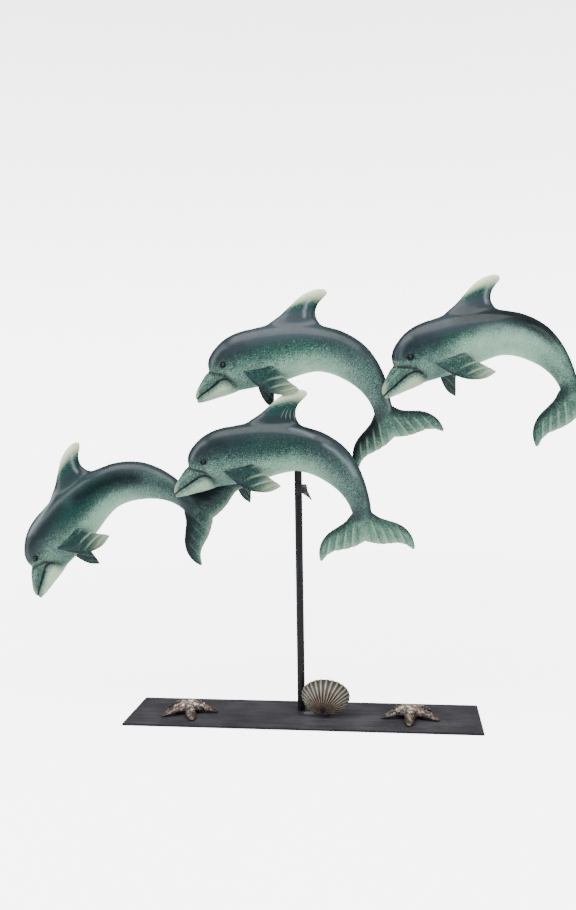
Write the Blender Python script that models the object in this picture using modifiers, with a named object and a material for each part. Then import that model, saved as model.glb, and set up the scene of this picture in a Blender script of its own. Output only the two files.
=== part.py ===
"""Table statue: four leaping dolphins on one rod over a flat plate, a scallop shell and two
starfish at its foot. Metres, +Z up, +X along the plate, the viewer in front at -Y.
Origin under the middle of the plate. Four castings from one pattern make the group: the
middle one sits on the rod, the others are fixed to it and to each other."""
import math

import bmesh
import bpy
import numpy as np
from mathutils import Matrix, Vector

# Driving sizes
PLATE_LENGTH = 0.362
PLATE_DEPTH = 0.088
PLATE_THICKNESS = 0.0025
PLATE_EDGE_ROUND = 0.0006
POST_DIAMETER = 0.008
POST_RISE = 0.2520
POST_SOCKET = 0.013
POST_X = -0.0035
POST_Y = 0.0135
FIT_GAP = 0.0003
DOLPHIN_LENGTH = 0.2525
FIN_THICKNESS = 0.0028
FAR_FIN_LENGTH = 0.84
FAR_FIN_WIDTH = 0.78
FAR_FIN_SWING = math.radians(59)
FAR_FIN_SPLAY = math.radians(12)
TAB_THICKNESS = 0.0014
TAB_DROP = 0.0134
SHELL_WIDTH = 0.0486
SHELL_HEIGHT = 0.0360
SHELL_BULGE = 0.0125
SHELL_WALL = 0.0022
SHELL_RIBS = 20
SHELL_RIB_HEIGHT = 0.0007
SHELL_FLARE = 0.13
SHELL_LEAN = math.radians(14)
SHELL_TURN = math.radians(4)
SHELL_Y = -0.0030
SHELL_FROM_POST = 0.0270
STAR_RADIUS = 0.032
STAR_THICKNESS = 0.0068
STAR_LIFT = 0.0042
STAR_EDGE = 0.0009

# The pattern is drawn in units of a thousandth of a metre at this length
PATTERN_LENGTH = 252.5
UNIT = DOLPHIN_LENGTH / PATTERN_LENGTH

# Body stations from the melon to the flukes: back x z, belly x z, half width
BODY = [
    (15.2, 43.0, 15.4, 33.5, 4.2),
    (17.8, 49.2, 19.2, 24.0, 8.6),
    (23.6, 56.8, 27.0, 15.0, 11.8),
    (32.2, 64.5, 39.0, 9.8, 14.2),
    (44.5, 70.8, 52.0, 11.4, 16.4),
    (60.5, 75.0, 66.0, 13.7, 17.4),
    (79.0, 78.4, 81.0, 16.4, 18.0),
    (100.0, 79.6, 98.0, 20.4, 18.0),
    (120.0, 79.0, 115.0, 25.8, 17.6),
    (137.5, 76.2, 131.4, 28.6, 17.0),
    (155.0, 70.9, 147.0, 25.6, 15.8),
    (171.0, 62.6, 161.0, 19.0, 14.4),
    (184.6, 51.2, 173.2, 10.6, 12.8),
    (194.9, 36.4, 182.4, 0.8, 11.0),
    (202.2, 20.0, 187.8, -8.6, 9.2),
    (206.8, 4.4, 190.0, -15.6, 7.8),
    (209.2, -7.4, 189.6, -21.0, 6.2),
    (209.6, -16.4, 192.0, -27.4, 4.4),
    (206.6, -25.0, 196.6, -31.0, 2.6),
]
# Upper beak stations: ridge x z, mouth line x z, half width
UPPER_BEAK = [
    (0.1, 5.6, 1.4, 1.6, 2.2),
    (1.6, 11.2, 5.8, 3.8, 4.6),
    (5.0, 17.4, 12.6, 7.9, 6.1),
    (9.2, 24.2, 20.0, 12.6, 7.3),
    (14.4, 30.6, 27.8, 17.4, 8.9),
    (22.0, 35.0, 36.0, 21.6, 10.6),
    (32.0, 36.0, 43.0, 24.0, 11.0),
]
# Lower jaw stations: mouth line x z, chin x z, half width
JAW = [
    (1.6, 2.2, 2.8, -1.8, 2.2),
    (7.2, 7.6, 9.0, -0.9, 4.4),
    (14.0, 12.4, 16.6, 1.0, 5.9),
    (21.4, 17.0, 25.4, 3.6, 7.3),
    (28.6, 21.4, 34.6, 6.0, 9.0),
    (36.0, 24.6, 44.0, 9.2, 11.0),
    (43.0, 26.4, 53.0, 14.0, 11.6),
]
# Back fin stations from inside the body to the tip: front x z, rear x z, half thickness
BACK_FIN = [
    (64.0, 66.0, 141.0, 66.0, 12.0),
    (77.0, 80.0, 132.6, 79.4, 8.0),
    (90.4, 88.8, 128.6, 87.6, 5.6),
    (102.0, 98.4, 128.9, 93.4, 4.2),
    (111.6, 106.6, 131.4, 98.8, 3.3),
    (121.6, 111.8, 135.6, 103.4, 2.7),
    (131.4, 114.0, 139.2, 107.0, 2.1),
    (137.6, 113.6, 140.8, 110.2, 1.4),
]
# Half of the flukes, across and along from the stock's centre: leading and trailing edge
FLUKE_LEAD = [
    (0.0, -4.6), (9.2, -0.4), (17.4, 6.8), (25.8, 11.1), (34.6, 15.3),
    (41.2, 20.4), (46.0, 27.0), (48.6, 34.8), (48.9, 43.2),
]
FLUKE_TRAIL = [
    (0.0, 29.8), (6.5, 32.2), (13.0, 34.0), (19.5, 35.0), (26.0, 35.3),
    (32.0, 35.6), (37.5, 37.2), (42.4, 40.2), (46.7, 44.2),
]
# Near pectoral fin in the dolphin's own frame: lower edge and upper edge with its root line
FIN_LOW = [
    (57.1, 27.4), (63.5, 21.8), (69.5, 16.6), (76.1, 12.2), (87.5, 7.4), (102.6, 6.0), (115.6, 9.6),
]
FIN_HIGH = [
    (57.9, 30.0), (67.7, 31.6), (77.7, 33.6), (87.5, 36.0), (96.5, 27.2), (107.4, 19.0), (117.4, 13.0),
]
# Outline of the torn tab from the rod's axis and its own top, in metres
TAB_OUTLINE = [
    (-0.0010, 0.0), (0.0093, 0.0003), (0.0103, -0.0062),
    (0.0153, -0.0172), (0.0052, -0.0094), (-0.0006, -0.0112),
]
# One starfish arm: degrees from its middle line and reach as a share of the radius
STAR_ARM = [(-20, 0.46), (-7, 0.88), (0, 1.0), (7, 0.88), (20, 0.46), (36, 0.34)]
# Place on the plate as shares of its length and depth, and turn
STARS = {
    "starfish_left": (-0.334, -0.034, math.radians(217.6)),
    "starfish_right": (0.306, -0.010, math.radians(193.7)),
}
UMBO = (-0.05, -0.80)
STOCK = (199.0, -13.0)
FLUKE_AXIS = math.radians(-80.8)
WEB_PLACE = 8.0
WEB_REACH = 7.0
EYE = (31.2, 38.0)
EYE_RADIUS = 3.1
EYE_SIDE = 12.8
BELLY_SEAT = (132.6, 28.6)
BEAK_TIP = (1.5, 1.9)
BEAK_HALF = 4.6
STOCK_HALF = 7.16
# Places on the pattern where one casting crosses another
LEFT_STOCK = (196.0, 2.2)
UPPER_STOCK = (200.2, 2.0)
UPPER_BELLY = (100.0, 11.0)
BACK_FIN_TOP = (118.6, 114.5)
CROSSING_DEPTH = 14.2

# Each casting: its share of the pattern's length, turn of the nose down, swing of the tail away
# from the viewer, turn and size of the flukes, splay and droop of the near pectoral fin, shift of
# the back fin and of the far pectoral fin along the body, web before the flukes' outer lobe
CASTINGS = {
    "middle": (1.000, math.radians(-1.6), 0.0, 0.0, 1.02, math.radians(12), math.radians(-3),
               1.0, 1.8, 0.0),
    "left": (1.000, math.radians(35.2), math.radians(1.5), math.radians(14), 1.06, math.radians(12),
             math.radians(6), -1.5, -5.2, 5.0),
    "upper": (1.014, 0.0, math.radians(-3.7), math.radians(14), 1.0, math.radians(1.2), math.radians(3),
              2.5, 3.4, 2.0),
    "right": (0.976, math.radians(6.3), math.radians(10), math.radians(3), 1.11, math.radians(12), 0.0,
              -1.5, 7.0, 0.0),
}

PAINT = {
    "black_paint": ((0.012, 0.012, 0.014), 0.38, 0.0),
    "dolphin_glaze": ((0.13, 0.21, 0.19), 0.25, 0.0),
    "shell_patina": ((0.21, 0.17, 0.14), 0.45, 0.6),
    "star_patina": ((0.30, 0.26, 0.22), 0.42, 0.7),
    "raw_steel": ((0.10, 0.10, 0.10), 0.6, 0.8),
}


def clear_scene():
    for thing in list(bpy.data.objects):
        bpy.data.objects.remove(thing, do_unlink=True)


def collection(name):
    group = bpy.data.collections.new(name)
    bpy.context.scene.collection.children.link(group)
    return group


def paint(name):
    """The named finish as a Principled material."""
    found = bpy.data.materials.get(name)
    if found:
        return found
    colour, roughness, metallic = PAINT[name]
    made = bpy.data.materials.new(name)
    made.use_nodes = True
    shader = made.node_tree.nodes["Principled BSDF"]
    shader.inputs["Base Color"].default_value = (*colour, 1.0)
    shader.inputs["Roughness"].default_value = roughness
    shader.inputs["Metallic"].default_value = metallic
    return made


def add_object(name, mesh, group, finish=None, parent=None):
    thing = bpy.data.objects.new(name, mesh)
    group.objects.link(thing)
    thing.parent = parent
    if finish:
        mesh.materials.append(paint(finish))
    else:
        thing.hide_render = True
        thing.display_type = "WIRE"
    return thing


def finish_mesh(work, name, smooth=True):
    """Turn the bmesh into a mesh with its faces out and round parts shaded smooth."""
    bmesh.ops.recalc_face_normals(work, faces=work.faces)
    mesh = bpy.data.meshes.new(name)
    work.to_mesh(mesh)
    work.free()
    if smooth:
        mesh.shade_smooth()
        mesh.set_sharp_from_angle(angle=math.radians(40))
    return mesh


def smooth_run(stations, count):
    """Read a smooth curve through the stations at count even steps."""
    knots = np.array(stations, dtype=float)
    first = 2 * knots[0] - knots[1]
    last = 2 * knots[-1] - knots[-2]
    knots = np.vstack([first, knots, last])
    place = np.linspace(0, len(stations) - 1, count)
    span = np.minimum(place.astype(int), len(stations) - 2)
    f = (place - span)[:, None]
    a, b, c, d = (knots[span + i] for i in range(4))
    return 0.5 * (2 * b + (c - a) * f + (2 * a - 5 * b + 4 * c - d) * f**2 + (3 * b - a - 3 * c + d) * f**3)


def loft(rings, name):
    """Skin closed rings of points and close both ends."""
    work = bmesh.new()
    loops = [[work.verts.new(point) for point in ring] for ring in rings]
    for here, there in zip(loops, loops[1:]):
        for i in range(len(here)):
            j = (i + 1) % len(here)
            work.faces.new((here[i], here[j], there[j], there[i]))
    for loop in (loops[0], loops[-1]):
        middle = sum((v.co for v in loop), Vector()) / len(loop)
        pole = work.verts.new(middle)
        for i in range(len(loop)):
            work.faces.new((loop[i], loop[(i + 1) % len(loop)], pole))
    return finish_mesh(work, name)


def oval_rings(stations, rings, sides, fullness, unit):
    """Ovals spanned between two outlines, station by station."""
    result = []
    for top_x, top_z, low_x, low_z, half in smooth_run(stations, rings):
        middle = Vector(((top_x + low_x) / 2, 0, (top_z + low_z) / 2))
        up = Vector((top_x, 0, top_z)) - middle
        ring = []
        for i in range(sides):
            angle = 2 * math.pi * i / sides
            along = math.copysign(abs(math.cos(angle)) ** (2 / fullness), math.cos(angle))
            across = math.copysign(abs(math.sin(angle)) ** (2 / fullness), math.sin(angle))
            ring.append((middle + up * along + Vector((0, half * across, 0))) * unit)
        result.append(ring)
    return result


def blade(lead, trail, rows, half_thickness, middle_y, name):
    """A thin blade between two edges: columns of points joined front and back."""
    work = bmesh.new()
    faces = []
    for side in (-1, 1):
        grid = []
        for j, (a, b) in enumerate(zip(lead, trail)):
            column = []
            for row in rows:
                x, z = a[0] + (b[0] - a[0]) * row, a[1] + (b[1] - a[1]) * row
                thick = half_thickness(j / (len(lead) - 1), row, j)
                column.append(work.verts.new((x, middle_y(x, z) + side * thick, z)))
            grid.append(column)
        faces.append(grid)
        for here, there in zip(grid, grid[1:]):
            for i in range(len(rows) - 1):
                work.faces.new((here[i], here[i + 1], there[i + 1], there[i]))
    near, far = faces
    for j in range(len(lead) - 1):
        for row in (0, -1):
            work.faces.new((near[j][row], near[j + 1][row], far[j + 1][row], far[j][row]))
    for j in (0, -1):
        for i in range(len(rows) - 1):
            work.faces.new((near[j][i], near[j][i + 1], far[j][i + 1], far[j][i]))
    return finish_mesh(work, name)


def join(target, other, operation):
    """Boolean with the exact solver; both bodies are closed."""
    step = target.modifiers.new(operation.lower() + "_" + other.name, "BOOLEAN")
    step.operation = operation
    step.solver = "EXACT"
    step.object = other


def evaluated_mesh(thing):
    bpy.context.view_layer.update()
    seen = thing.evaluated_get(bpy.context.evaluated_depsgraph_get())
    return bpy.data.meshes.new_from_object(seen)


def bend_tail(stations, turn):
    """Turn the last stations about the stock's centre, easing in along the tail."""
    ease_from, ease_over = 14, 3
    result = []
    for k, station in enumerate(stations):
        share = min(max((k - ease_from) / ease_over, 0), 1)
        angle = turn * share * share * (3 - 2 * share)
        top = turned(station[0:2], angle, STOCK)
        low = turned(station[2:4], angle, STOCK)
        result.append((*top, *low, station[4]))
    return result


def turned(point, angle, centre):
    x, z = point[0] - centre[0], point[1] - centre[1]
    c, s = math.cos(angle), math.sin(angle)
    return (centre[0] + x * c - z * s, centre[1] + x * s + z * c)


def slid(stations, by):
    """Stations moved along the body."""
    return [(top_x + by, top_z, low_x + by, low_z, half) for top_x, top_z, low_x, low_z, half in stations]


def fluke_mesh(unit, share, turn, web, name):
    """Both lobes as one ribbed blade, from the left tip over the stock to the right tip, with a
    web that fills the notch between the stock and the outer lobe."""
    axis = FLUKE_AXIS + turn
    along = (math.cos(axis), math.sin(axis))
    across = (-math.sin(axis), math.cos(axis))
    per_lobe = 9
    half_lead = smooth_run(FLUKE_LEAD, per_lobe)
    half_trail = smooth_run(FLUKE_TRAIL, per_lobe)

    def both(half, fill):
        lobe = [(share * p, share * q) for p, q in half]
        webbed = [(p, q - fill * math.exp(-(((p - WEB_PLACE) / WEB_REACH) ** 2))) for p, q in lobe]
        whole = [(-p, q) for p, q in reversed(lobe[1:])] + webbed
        return [((STOCK[0] + across[0] * p + along[0] * q) * unit,
                 (STOCK[1] + across[1] * p + along[1] * q) * unit) for p, q in whole]

    def half_thickness(place, row, column):
        out = abs(2 * place - 1)
        root = (3.0 - 1.2 * out) * unit
        profile = np.interp(row, (0, 0.14, 0.4, 1.0), (0.34, 0.9, 1.0, 0.42))
        groove = 0.66 if column % 2 and row > 0.3 else 1.0
        return root * profile * groove

    return blade(both(half_lead, web), both(half_trail, 0.0), (0, 0.14, 0.4, 1.0), half_thickness,
                 lambda x, z: 0.0, name)


def fin_mesh(unit, side, form, splay, name):
    """A pectoral fin: side -1 is the near flank, 1 the far one; form is its length and width
    as shares of the near one, the swing about its root and its shift along the body."""
    length, width, swing, shift = form
    columns = 10
    root = ((FIN_HIGH[0][0] + FIN_HIGH[3][0]) / 2, (FIN_HIGH[0][1] + FIN_HIGH[3][1]) / 2)
    slope = (FIN_HIGH[3][1] - FIN_HIGH[0][1]) / (FIN_HIGH[3][0] - FIN_HIGH[0][0])
    flank_front, flank_rear = 15.0, 16.5

    tip = FIN_LOW[-1]
    reach = math.hypot(tip[0] - root[0], tip[1] - root[1])
    ahead = ((tip[0] - root[0]) / reach, (tip[1] - root[1]) / reach)

    def edge(points):
        run = []
        for x, z in smooth_run(points, columns):
            along = ((x - root[0]) * ahead[0] + (z - root[1]) * ahead[1]) * length
            across = ((z - root[1]) * ahead[0] - (x - root[0]) * ahead[1]) * width
            sized = (root[0] + ahead[0] * along - ahead[1] * across,
                     root[1] + ahead[1] * along + ahead[0] * across)
            x, z = turned(sized, -swing, root)
            run.append(((x + shift) * unit, z * unit))
        return run

    def middle_y(x, z):
        x, z = x / unit, z / unit
        below = root[1] + (x - root[0]) * slope - z
        share = (x - FIN_HIGH[0][0]) / (FIN_HIGH[3][0] - FIN_HIGH[0][0])
        flank = flank_front + (flank_rear - flank_front) * min(share, 1.0)
        return side * (flank + math.tan(splay) * below) * unit

    def half_thickness(share, row, column):
        body = FIN_THICKNESS / 2 * (1.0 - 0.45 * share)
        profile = np.interp(row, (0, 0.3, 0.7, 1.0), (0.45, 1.0, 1.0, 0.55))
        groove = 0.72 if column % 2 and 0 < row < 1 else 1.0
        return body * profile * groove

    return blade(edge(FIN_LOW), edge(FIN_HIGH), (0, 0.3, 0.7, 1.0), half_thickness, middle_y, name)


def eye_mesh(unit, side, name):
    work = bmesh.new()
    centre = Matrix.Translation(Vector((EYE[0], side * EYE_SIDE, EYE[1])) * unit)
    bmesh.ops.create_icosphere(work, subdivisions=1, radius=EYE_RADIUS * unit, matrix=centre)
    return finish_mesh(work, name)


def grown(mesh, by, name):
    """A copy of a closed mesh with every point moved out along its normal."""
    copy = mesh.copy()
    copy.name = name
    work = bmesh.new()
    work.from_mesh(copy)
    work.normal_update()
    moves = [(v, v.normal * by * v.calc_shell_factor()) for v in work.verts]
    for vertex, move in moves:
        vertex.co += move
    work.to_mesh(copy)
    work.free()
    copy.materials.clear()
    return copy


def dolphin(name, spec, place, group, cutters):
    """One casting with its two pectoral fins, hung on an empty at the snout."""
    share, turn, swing, tail_turn, fluke_share, near_splay, near_droop, fin_shift, far_shift, web = spec
    unit = UNIT * share
    hub = bpy.data.objects.new(name + "_place", None)
    group.objects.link(hub)
    hub.location = place
    hub.rotation_euler = (0, -turn, swing)
    hub.rotation_mode = "XYZ"

    bent = bend_tail(BODY, tail_turn)
    body = add_object(name, loft(oval_rings(bent, 26, 14, 2.15, unit), name), group, "dolphin_glaze", hub)
    forms = {
        "upper_beak": loft(oval_rings(UPPER_BEAK, 8, 10, 2.5, unit), name + "_upper_beak"),
        "jaw": loft(oval_rings(JAW, 8, 10, 2.5, unit), name + "_jaw"),
        "back_fin": loft(oval_rings(slid(BACK_FIN, fin_shift), 8, 10, 2.0, unit), name + "_back_fin"),
        "flukes": fluke_mesh(unit, fluke_share, tail_turn, web, name + "_flukes"),
        "near_eye": eye_mesh(unit, -1, name + "_near_eye"),
        "far_eye": eye_mesh(unit, 1, name + "_far_eye"),
    }
    for label, mesh in forms.items():
        join(body, add_object(name + "_" + label, mesh, cutters, None, hub), "UNION")
    clearance = add_object(name + "_clearance", grown(evaluated_mesh(body), FIT_GAP, name + "_clearance"),
                           cutters, None, hub)
    far_form = (FAR_FIN_LENGTH, FAR_FIN_WIDTH, FAR_FIN_SWING, far_shift)
    near_form = (1.0, 1.0, near_droop, 0.0)
    for label, side, form, splay in (("near_fin", -1, near_form, near_splay),
                                     ("far_fin", 1, far_form, FAR_FIN_SPLAY)):
        fin = add_object(f"{name}_{label}", fin_mesh(unit, side, form, splay, f"{name}_{label}"),
                         group, "dolphin_glaze", hub)
        join(fin, clearance, "DIFFERENCE")
    return body


def carried(spec, point):
    """Where a point of the pattern lies from the snout, once sized and turned."""
    share, turn, swing = spec[:3]
    local = Vector((point[0], 0, point[1])) * UNIT * share
    rotation = Matrix.Rotation(swing, 3, "Z") @ Matrix.Rotation(-turn, 3, "Y")
    return rotation @ local


def dolphin_places():
    """Snout places: each casting is set by the point where it meets its neighbour."""
    seat = Vector((POST_X, POST_Y, PLATE_THICKNESS + POST_RISE))
    places = {"middle": seat - carried(CASTINGS["middle"], BELLY_SEAT)}
    lap = (BEAK_HALF + STOCK_HALF) * UNIT + FIT_GAP
    beak = places["middle"] + carried(CASTINGS["middle"], BEAK_TIP)
    places["left"] = beak + Vector((0, lap, 0)) - carried(CASTINGS["left"], LEFT_STOCK)
    crossing = places["middle"] + carried(CASTINGS["middle"], BACK_FIN_TOP)
    behind = Vector((0, CROSSING_DEPTH * UNIT, 0))
    places["upper"] = crossing + behind - carried(CASTINGS["upper"], UPPER_BELLY)
    stock = places["upper"] + carried(CASTINGS["upper"], UPPER_STOCK)
    places["right"] = stock - Vector((0, lap, 0)) - carried(CASTINGS["right"], BEAK_TIP)
    return places


def plate(group):
    bpy.ops.mesh.primitive_cube_add(size=1, location=(0, 0, PLATE_THICKNESS / 2))
    made = bpy.context.object
    made.name = "base_plate"
    made.data.transform(Matrix.Diagonal((PLATE_LENGTH, PLATE_DEPTH, PLATE_THICKNESS, 1)))
    edge = made.modifiers.new("edge_round", "BEVEL")
    edge.width = PLATE_EDGE_ROUND
    edge.segments = 2
    made.data.materials.append(paint("black_paint"))
    move_to(made, group)


def move_to(thing, group):
    for old in list(thing.users_collection):
        old.objects.unlink(thing)
    group.objects.link(thing)


def post(group, cutters, middle):
    """The rod and the socket that it fills in the middle dolphin's belly."""
    foot = PLATE_THICKNESS + FIT_GAP
    head = PLATE_THICKNESS + POST_RISE + POST_SOCKET
    bpy.ops.mesh.primitive_cylinder_add(
        vertices=32, radius=POST_DIAMETER / 2, depth=head - foot,
        location=(POST_X, POST_Y, (head + foot) / 2))
    rod = bpy.context.object
    rod.name = "post"
    rod.data.materials.append(paint("black_paint"))
    rod.data.shade_smooth()
    rod.data.set_sharp_from_angle(angle=math.radians(40))
    move_to(rod, group)
    below = 0.01
    bpy.ops.mesh.primitive_cylinder_add(
        vertices=24, radius=POST_DIAMETER / 2 + FIT_GAP, depth=POST_SOCKET + FIT_GAP + below,
        location=(POST_X, POST_Y, head + FIT_GAP - (POST_SOCKET + FIT_GAP + below) / 2))
    socket = bpy.context.object
    socket.name = "post_socket"
    socket.hide_render = True
    socket.display_type = "WIRE"
    move_to(socket, cutters)
    join(middle, socket, "DIFFERENCE")


def post_tab(group):
    """Flat scrap soldered across the rod's front, its torn point down to the right."""
    level = PLATE_THICKNESS + POST_RISE - TAB_DROP
    outline = bpy.data.curves.new("post_tab", "CURVE")
    outline.dimensions = "2D"
    outline.fill_mode = "BOTH"
    outline.extrude = TAB_THICKNESS / 2
    spline = outline.splines.new("POLY")
    spline.points.add(len(TAB_OUTLINE) - 1)
    for point, (x, z) in zip(spline.points, TAB_OUTLINE):
        point.co = (x, z, 0, 1)
    spline.use_cyclic_u = True
    tab = bpy.data.objects.new("post_tab", outline)
    tab.location = (POST_X, POST_Y - POST_DIAMETER / 2 - FIT_GAP - TAB_THICKNESS / 2, level)
    tab.rotation_euler = (math.radians(90), 0, 0)
    outline.materials.append(paint("raw_steel"))
    group.objects.link(tab)


def scallop_shell(group):
    """One ribbed valve on its hinge, hollow behind, its side against the rod's foot."""
    columns = 2 * SHELL_RIBS
    half_w, half_h = SHELL_WIDTH / 2, SHELL_HEIGHT / 2
    umbo = (UMBO[0] * half_w, UMBO[1] * half_h)
    work = bmesh.new()
    skins = []
    for wall, rows in ((0.0, (0.22, 0.5, 0.8, 1.0)), (SHELL_WALL, (0.5, 1.0))):
        rings = []
        for row in rows:
            ring = []
            for j in range(columns):
                angle = 2 * math.pi * j / columns
                rim_x = half_w * math.cos(angle) * (1 + SHELL_FLARE * math.sin(angle))
                x = umbo[0] + (rim_x - umbo[0]) * row
                z = umbo[1] + (half_h * math.sin(angle) - umbo[1]) * row
                out = min((x / half_w) ** 2 + (z / half_h) ** 2, 1.0)
                dome = SHELL_BULGE * (1 - out) ** 0.6
                ridge = SHELL_RIB_HEIGHT * row if j % 2 == 0 and wall == 0.0 else 0.0
                ring.append(work.verts.new((x, wall - dome - ridge, z)))
            rings.append(ring)
        pole_out = (umbo[0] / half_w) ** 2 + (umbo[1] / half_h) ** 2
        pole = work.verts.new((umbo[0], wall - SHELL_BULGE * (1 - pole_out) ** 0.6, umbo[1]))
        for j in range(columns):
            k = (j + 1) % columns
            work.faces.new((pole, rings[0][j], rings[0][k]))
            for here, there in zip(rings, rings[1:]):
                work.faces.new((here[j], here[k], there[k], there[j]))
        skins.append(rings[-1])
    for j in range(columns):
        k = (j + 1) % columns
        work.faces.new((skins[0][j], skins[0][k], skins[1][k], skins[1][j]))
    shell = add_object("scallop_shell", finish_mesh(work, "scallop_shell"), group, "shell_patina")
    shell.rotation_euler = (-SHELL_LEAN, SHELL_TURN, 0)
    bpy.context.view_layer.update()
    lowest = min((shell.matrix_world @ vertex.co).z for vertex in shell.data.vertices)
    shell.location = (POST_X + SHELL_FROM_POST, SHELL_Y, PLATE_THICKNESS + FIT_GAP - lowest)


def starfish(name, spot, group):
    """Five arms arched down from a humped middle, the tips on the plate."""
    spokes = [(math.radians(72 * k + angle), reach) for k in range(5) for angle, reach in STAR_ARM]
    work = bmesh.new()
    rims = []
    for upper, rows in ((False, (0.5, 1.0)), (True, (0.28, 0.55, 0.8, 1.0))):
        rings = []
        for row in rows:
            ring = []
            for angle, reach in spokes:
                radius = STAR_RADIUS * reach * row
                share = radius / STAR_RADIUS
                under = STAR_LIFT * (1 - share**2)
                crest = STAR_THICKNESS * (1 - 0.55 * share) * (1 - row**3)
                height = under + (STAR_EDGE + crest if upper else 0.0)
                ring.append(work.verts.new((radius * math.cos(angle), radius * math.sin(angle), height)))
            rings.append(ring)
        pole = work.verts.new((0, 0, STAR_LIFT + (STAR_EDGE + STAR_THICKNESS if upper else 0.0)))
        for j in range(len(spokes)):
            k = (j + 1) % len(spokes)
            work.faces.new((pole, rings[0][j], rings[0][k]))
            for here, there in zip(rings, rings[1:]):
                work.faces.new((here[j], here[k], there[k], there[j]))
        rims.append(rings[-1])
    for j in range(len(spokes)):
        k = (j + 1) % len(spokes)
        work.faces.new((rims[0][j], rims[0][k], rims[1][k], rims[1][j]))
    star = add_object(name, finish_mesh(work, name), group, "star_patina")
    star.location = (spot[0] * PLATE_LENGTH, spot[1] * PLATE_DEPTH, PLATE_THICKNESS + FIT_GAP)
    star.rotation_euler = (0, 0, spot[2])


def build():
    clear_scene()
    group = collection("dolphin_statue")
    cutters = collection("cutters")
    plate(group)
    bodies = {}
    for label, place in dolphin_places().items():
        bodies[label] = dolphin("dolphin_" + label, CASTINGS[label], place, group, cutters)
    post(group, cutters, bodies["middle"])
    post_tab(group)
    scallop_shell(group)
    for name, spot in STARS.items():
        starfish(name, spot, group)


build()
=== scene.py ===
"""Table statue: four leaping dolphins on a black rod over a flat plate, a scallop shell and two
starfish at its foot. Metres, +Z up, the viewer in front at -Y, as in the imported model."""
import math

import bmesh
import bpy
import numpy as np
from mathutils import Matrix, Vector


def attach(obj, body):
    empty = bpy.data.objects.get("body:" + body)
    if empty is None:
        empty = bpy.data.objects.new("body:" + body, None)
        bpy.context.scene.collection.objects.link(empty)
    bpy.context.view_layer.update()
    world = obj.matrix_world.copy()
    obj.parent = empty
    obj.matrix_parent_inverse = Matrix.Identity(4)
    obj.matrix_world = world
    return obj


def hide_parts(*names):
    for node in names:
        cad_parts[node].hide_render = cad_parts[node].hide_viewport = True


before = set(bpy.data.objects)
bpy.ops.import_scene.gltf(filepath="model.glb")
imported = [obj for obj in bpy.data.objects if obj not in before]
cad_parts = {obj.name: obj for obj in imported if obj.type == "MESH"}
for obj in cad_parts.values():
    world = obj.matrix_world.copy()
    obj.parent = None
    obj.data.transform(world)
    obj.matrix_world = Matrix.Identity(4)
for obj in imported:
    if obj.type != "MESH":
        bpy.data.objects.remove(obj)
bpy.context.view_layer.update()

# Room, light and camera. The statue stands on a seamless pale sheet under a large softbox that
# hangs overhead and a little in front, with a weaker one at each side, in a pale room with a
# darker ceiling. The camera stands a little to the right, level with the dolphins.


def paint(hex_code):
    """The linear colour that an sRGB hex value stands for, with full alpha."""
    parts = [int(hex_code[i:i + 2], 16) / 255 for i in (1, 3, 5)]
    return (*(p / 12.92 if p <= 0.04045 else ((p + 0.055) / 1.055) ** 2.4 for p in parts), 1.0)


def set_inputs(tree, node, inputs):
    """Set inputs to values, or link them from a socket or from a node's first output in use. An
    input goes by its name among those in use, or by its number where a name repeats."""
    for key, source in inputs.items():
        named = [socket for socket in node.inputs if socket.enabled and socket.name == key]
        target = named[0] if named else node.inputs[key]
        if isinstance(source, bpy.types.Node):
            source = next(socket for socket in source.outputs if socket.enabled)
        if isinstance(source, bpy.types.NodeSocket):
            tree.links.new(source, target)
        else:
            target.default_value = source


def add_node(tree, kind, settings=None, inputs=None):
    """One node with its settings, its colour stops if it is a ramp, and its inputs."""
    node = tree.nodes.new(kind)
    for key, value in (settings or {}).items():
        if key == "stops":
            ramp = node.color_ramp.elements
            while len(ramp) < len(value):
                ramp.new(0.5)
            for element, (place, hex_code) in zip(ramp, value):
                element.position, element.color = place, paint(hex_code)
        else:
            setattr(node, key, value)
    set_inputs(tree, node, inputs or {})
    return node


def new_material(name):
    """An empty node material: its tree and its Principled shader, already joined to the output."""
    made = bpy.data.materials.new(name)
    made.use_nodes = True
    return made, made.node_tree, made.node_tree.nodes["Principled BSDF"]


def add_mesh(name, points, faces, material=None):
    """A new object at the origin with its place in its mesh."""
    mesh = bpy.data.meshes.new(name)
    mesh.from_pydata([tuple(p) for p in points], [], [tuple(f) for f in faces])
    mesh.update()
    thing = bpy.data.objects.new(name, mesh)
    bpy.context.scene.collection.objects.link(thing)
    if material:
        mesh.materials.append(material)
    return thing


# Matt white paper sheet: broad, soft, no gloss. It glows more towards its far edge, and is seen
# nearly as white as the room behind it, so that no horizon shows.
SHEET_REACH, SHEET_DROP, SHEET_CORNERS, SHEET_CLOUD = 1.7, 0.0002, 60, 1 / 3
GLOW_START, GLOW_MIDDLE, GLOW_EDGE, GLOW_REFLECTED = 0.3, 1.3, 2.7, 0.2
SEEN_WHITE = 7.2
SEEN_MIDDLE, SEEN_EDGE = SEEN_WHITE - 2.4, SEEN_WHITE - 1.0
sheet_paper, sheet_tree, sheet_shader = new_material("matt_paper_sheet")
sheet_place = add_node(sheet_tree, "ShaderNodeTexCoord").outputs["Object"]
sheet_cloud = add_node(sheet_tree, "ShaderNodeTexNoise", {}, {
    "Vector": sheet_place, "Scale": 1 / SHEET_CLOUD, "Detail": 2.0})
sheet_tone = add_node(sheet_tree, "ShaderNodeValToRGB", {"stops": [(0.3, "#E9E9EC"), (0.7, "#EDEDF0")]}, {
    "Fac": sheet_cloud})
sheet_away = add_node(sheet_tree, "ShaderNodeVectorMath", {"operation": "LENGTH"}, {"Vector": sheet_place})
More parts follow.
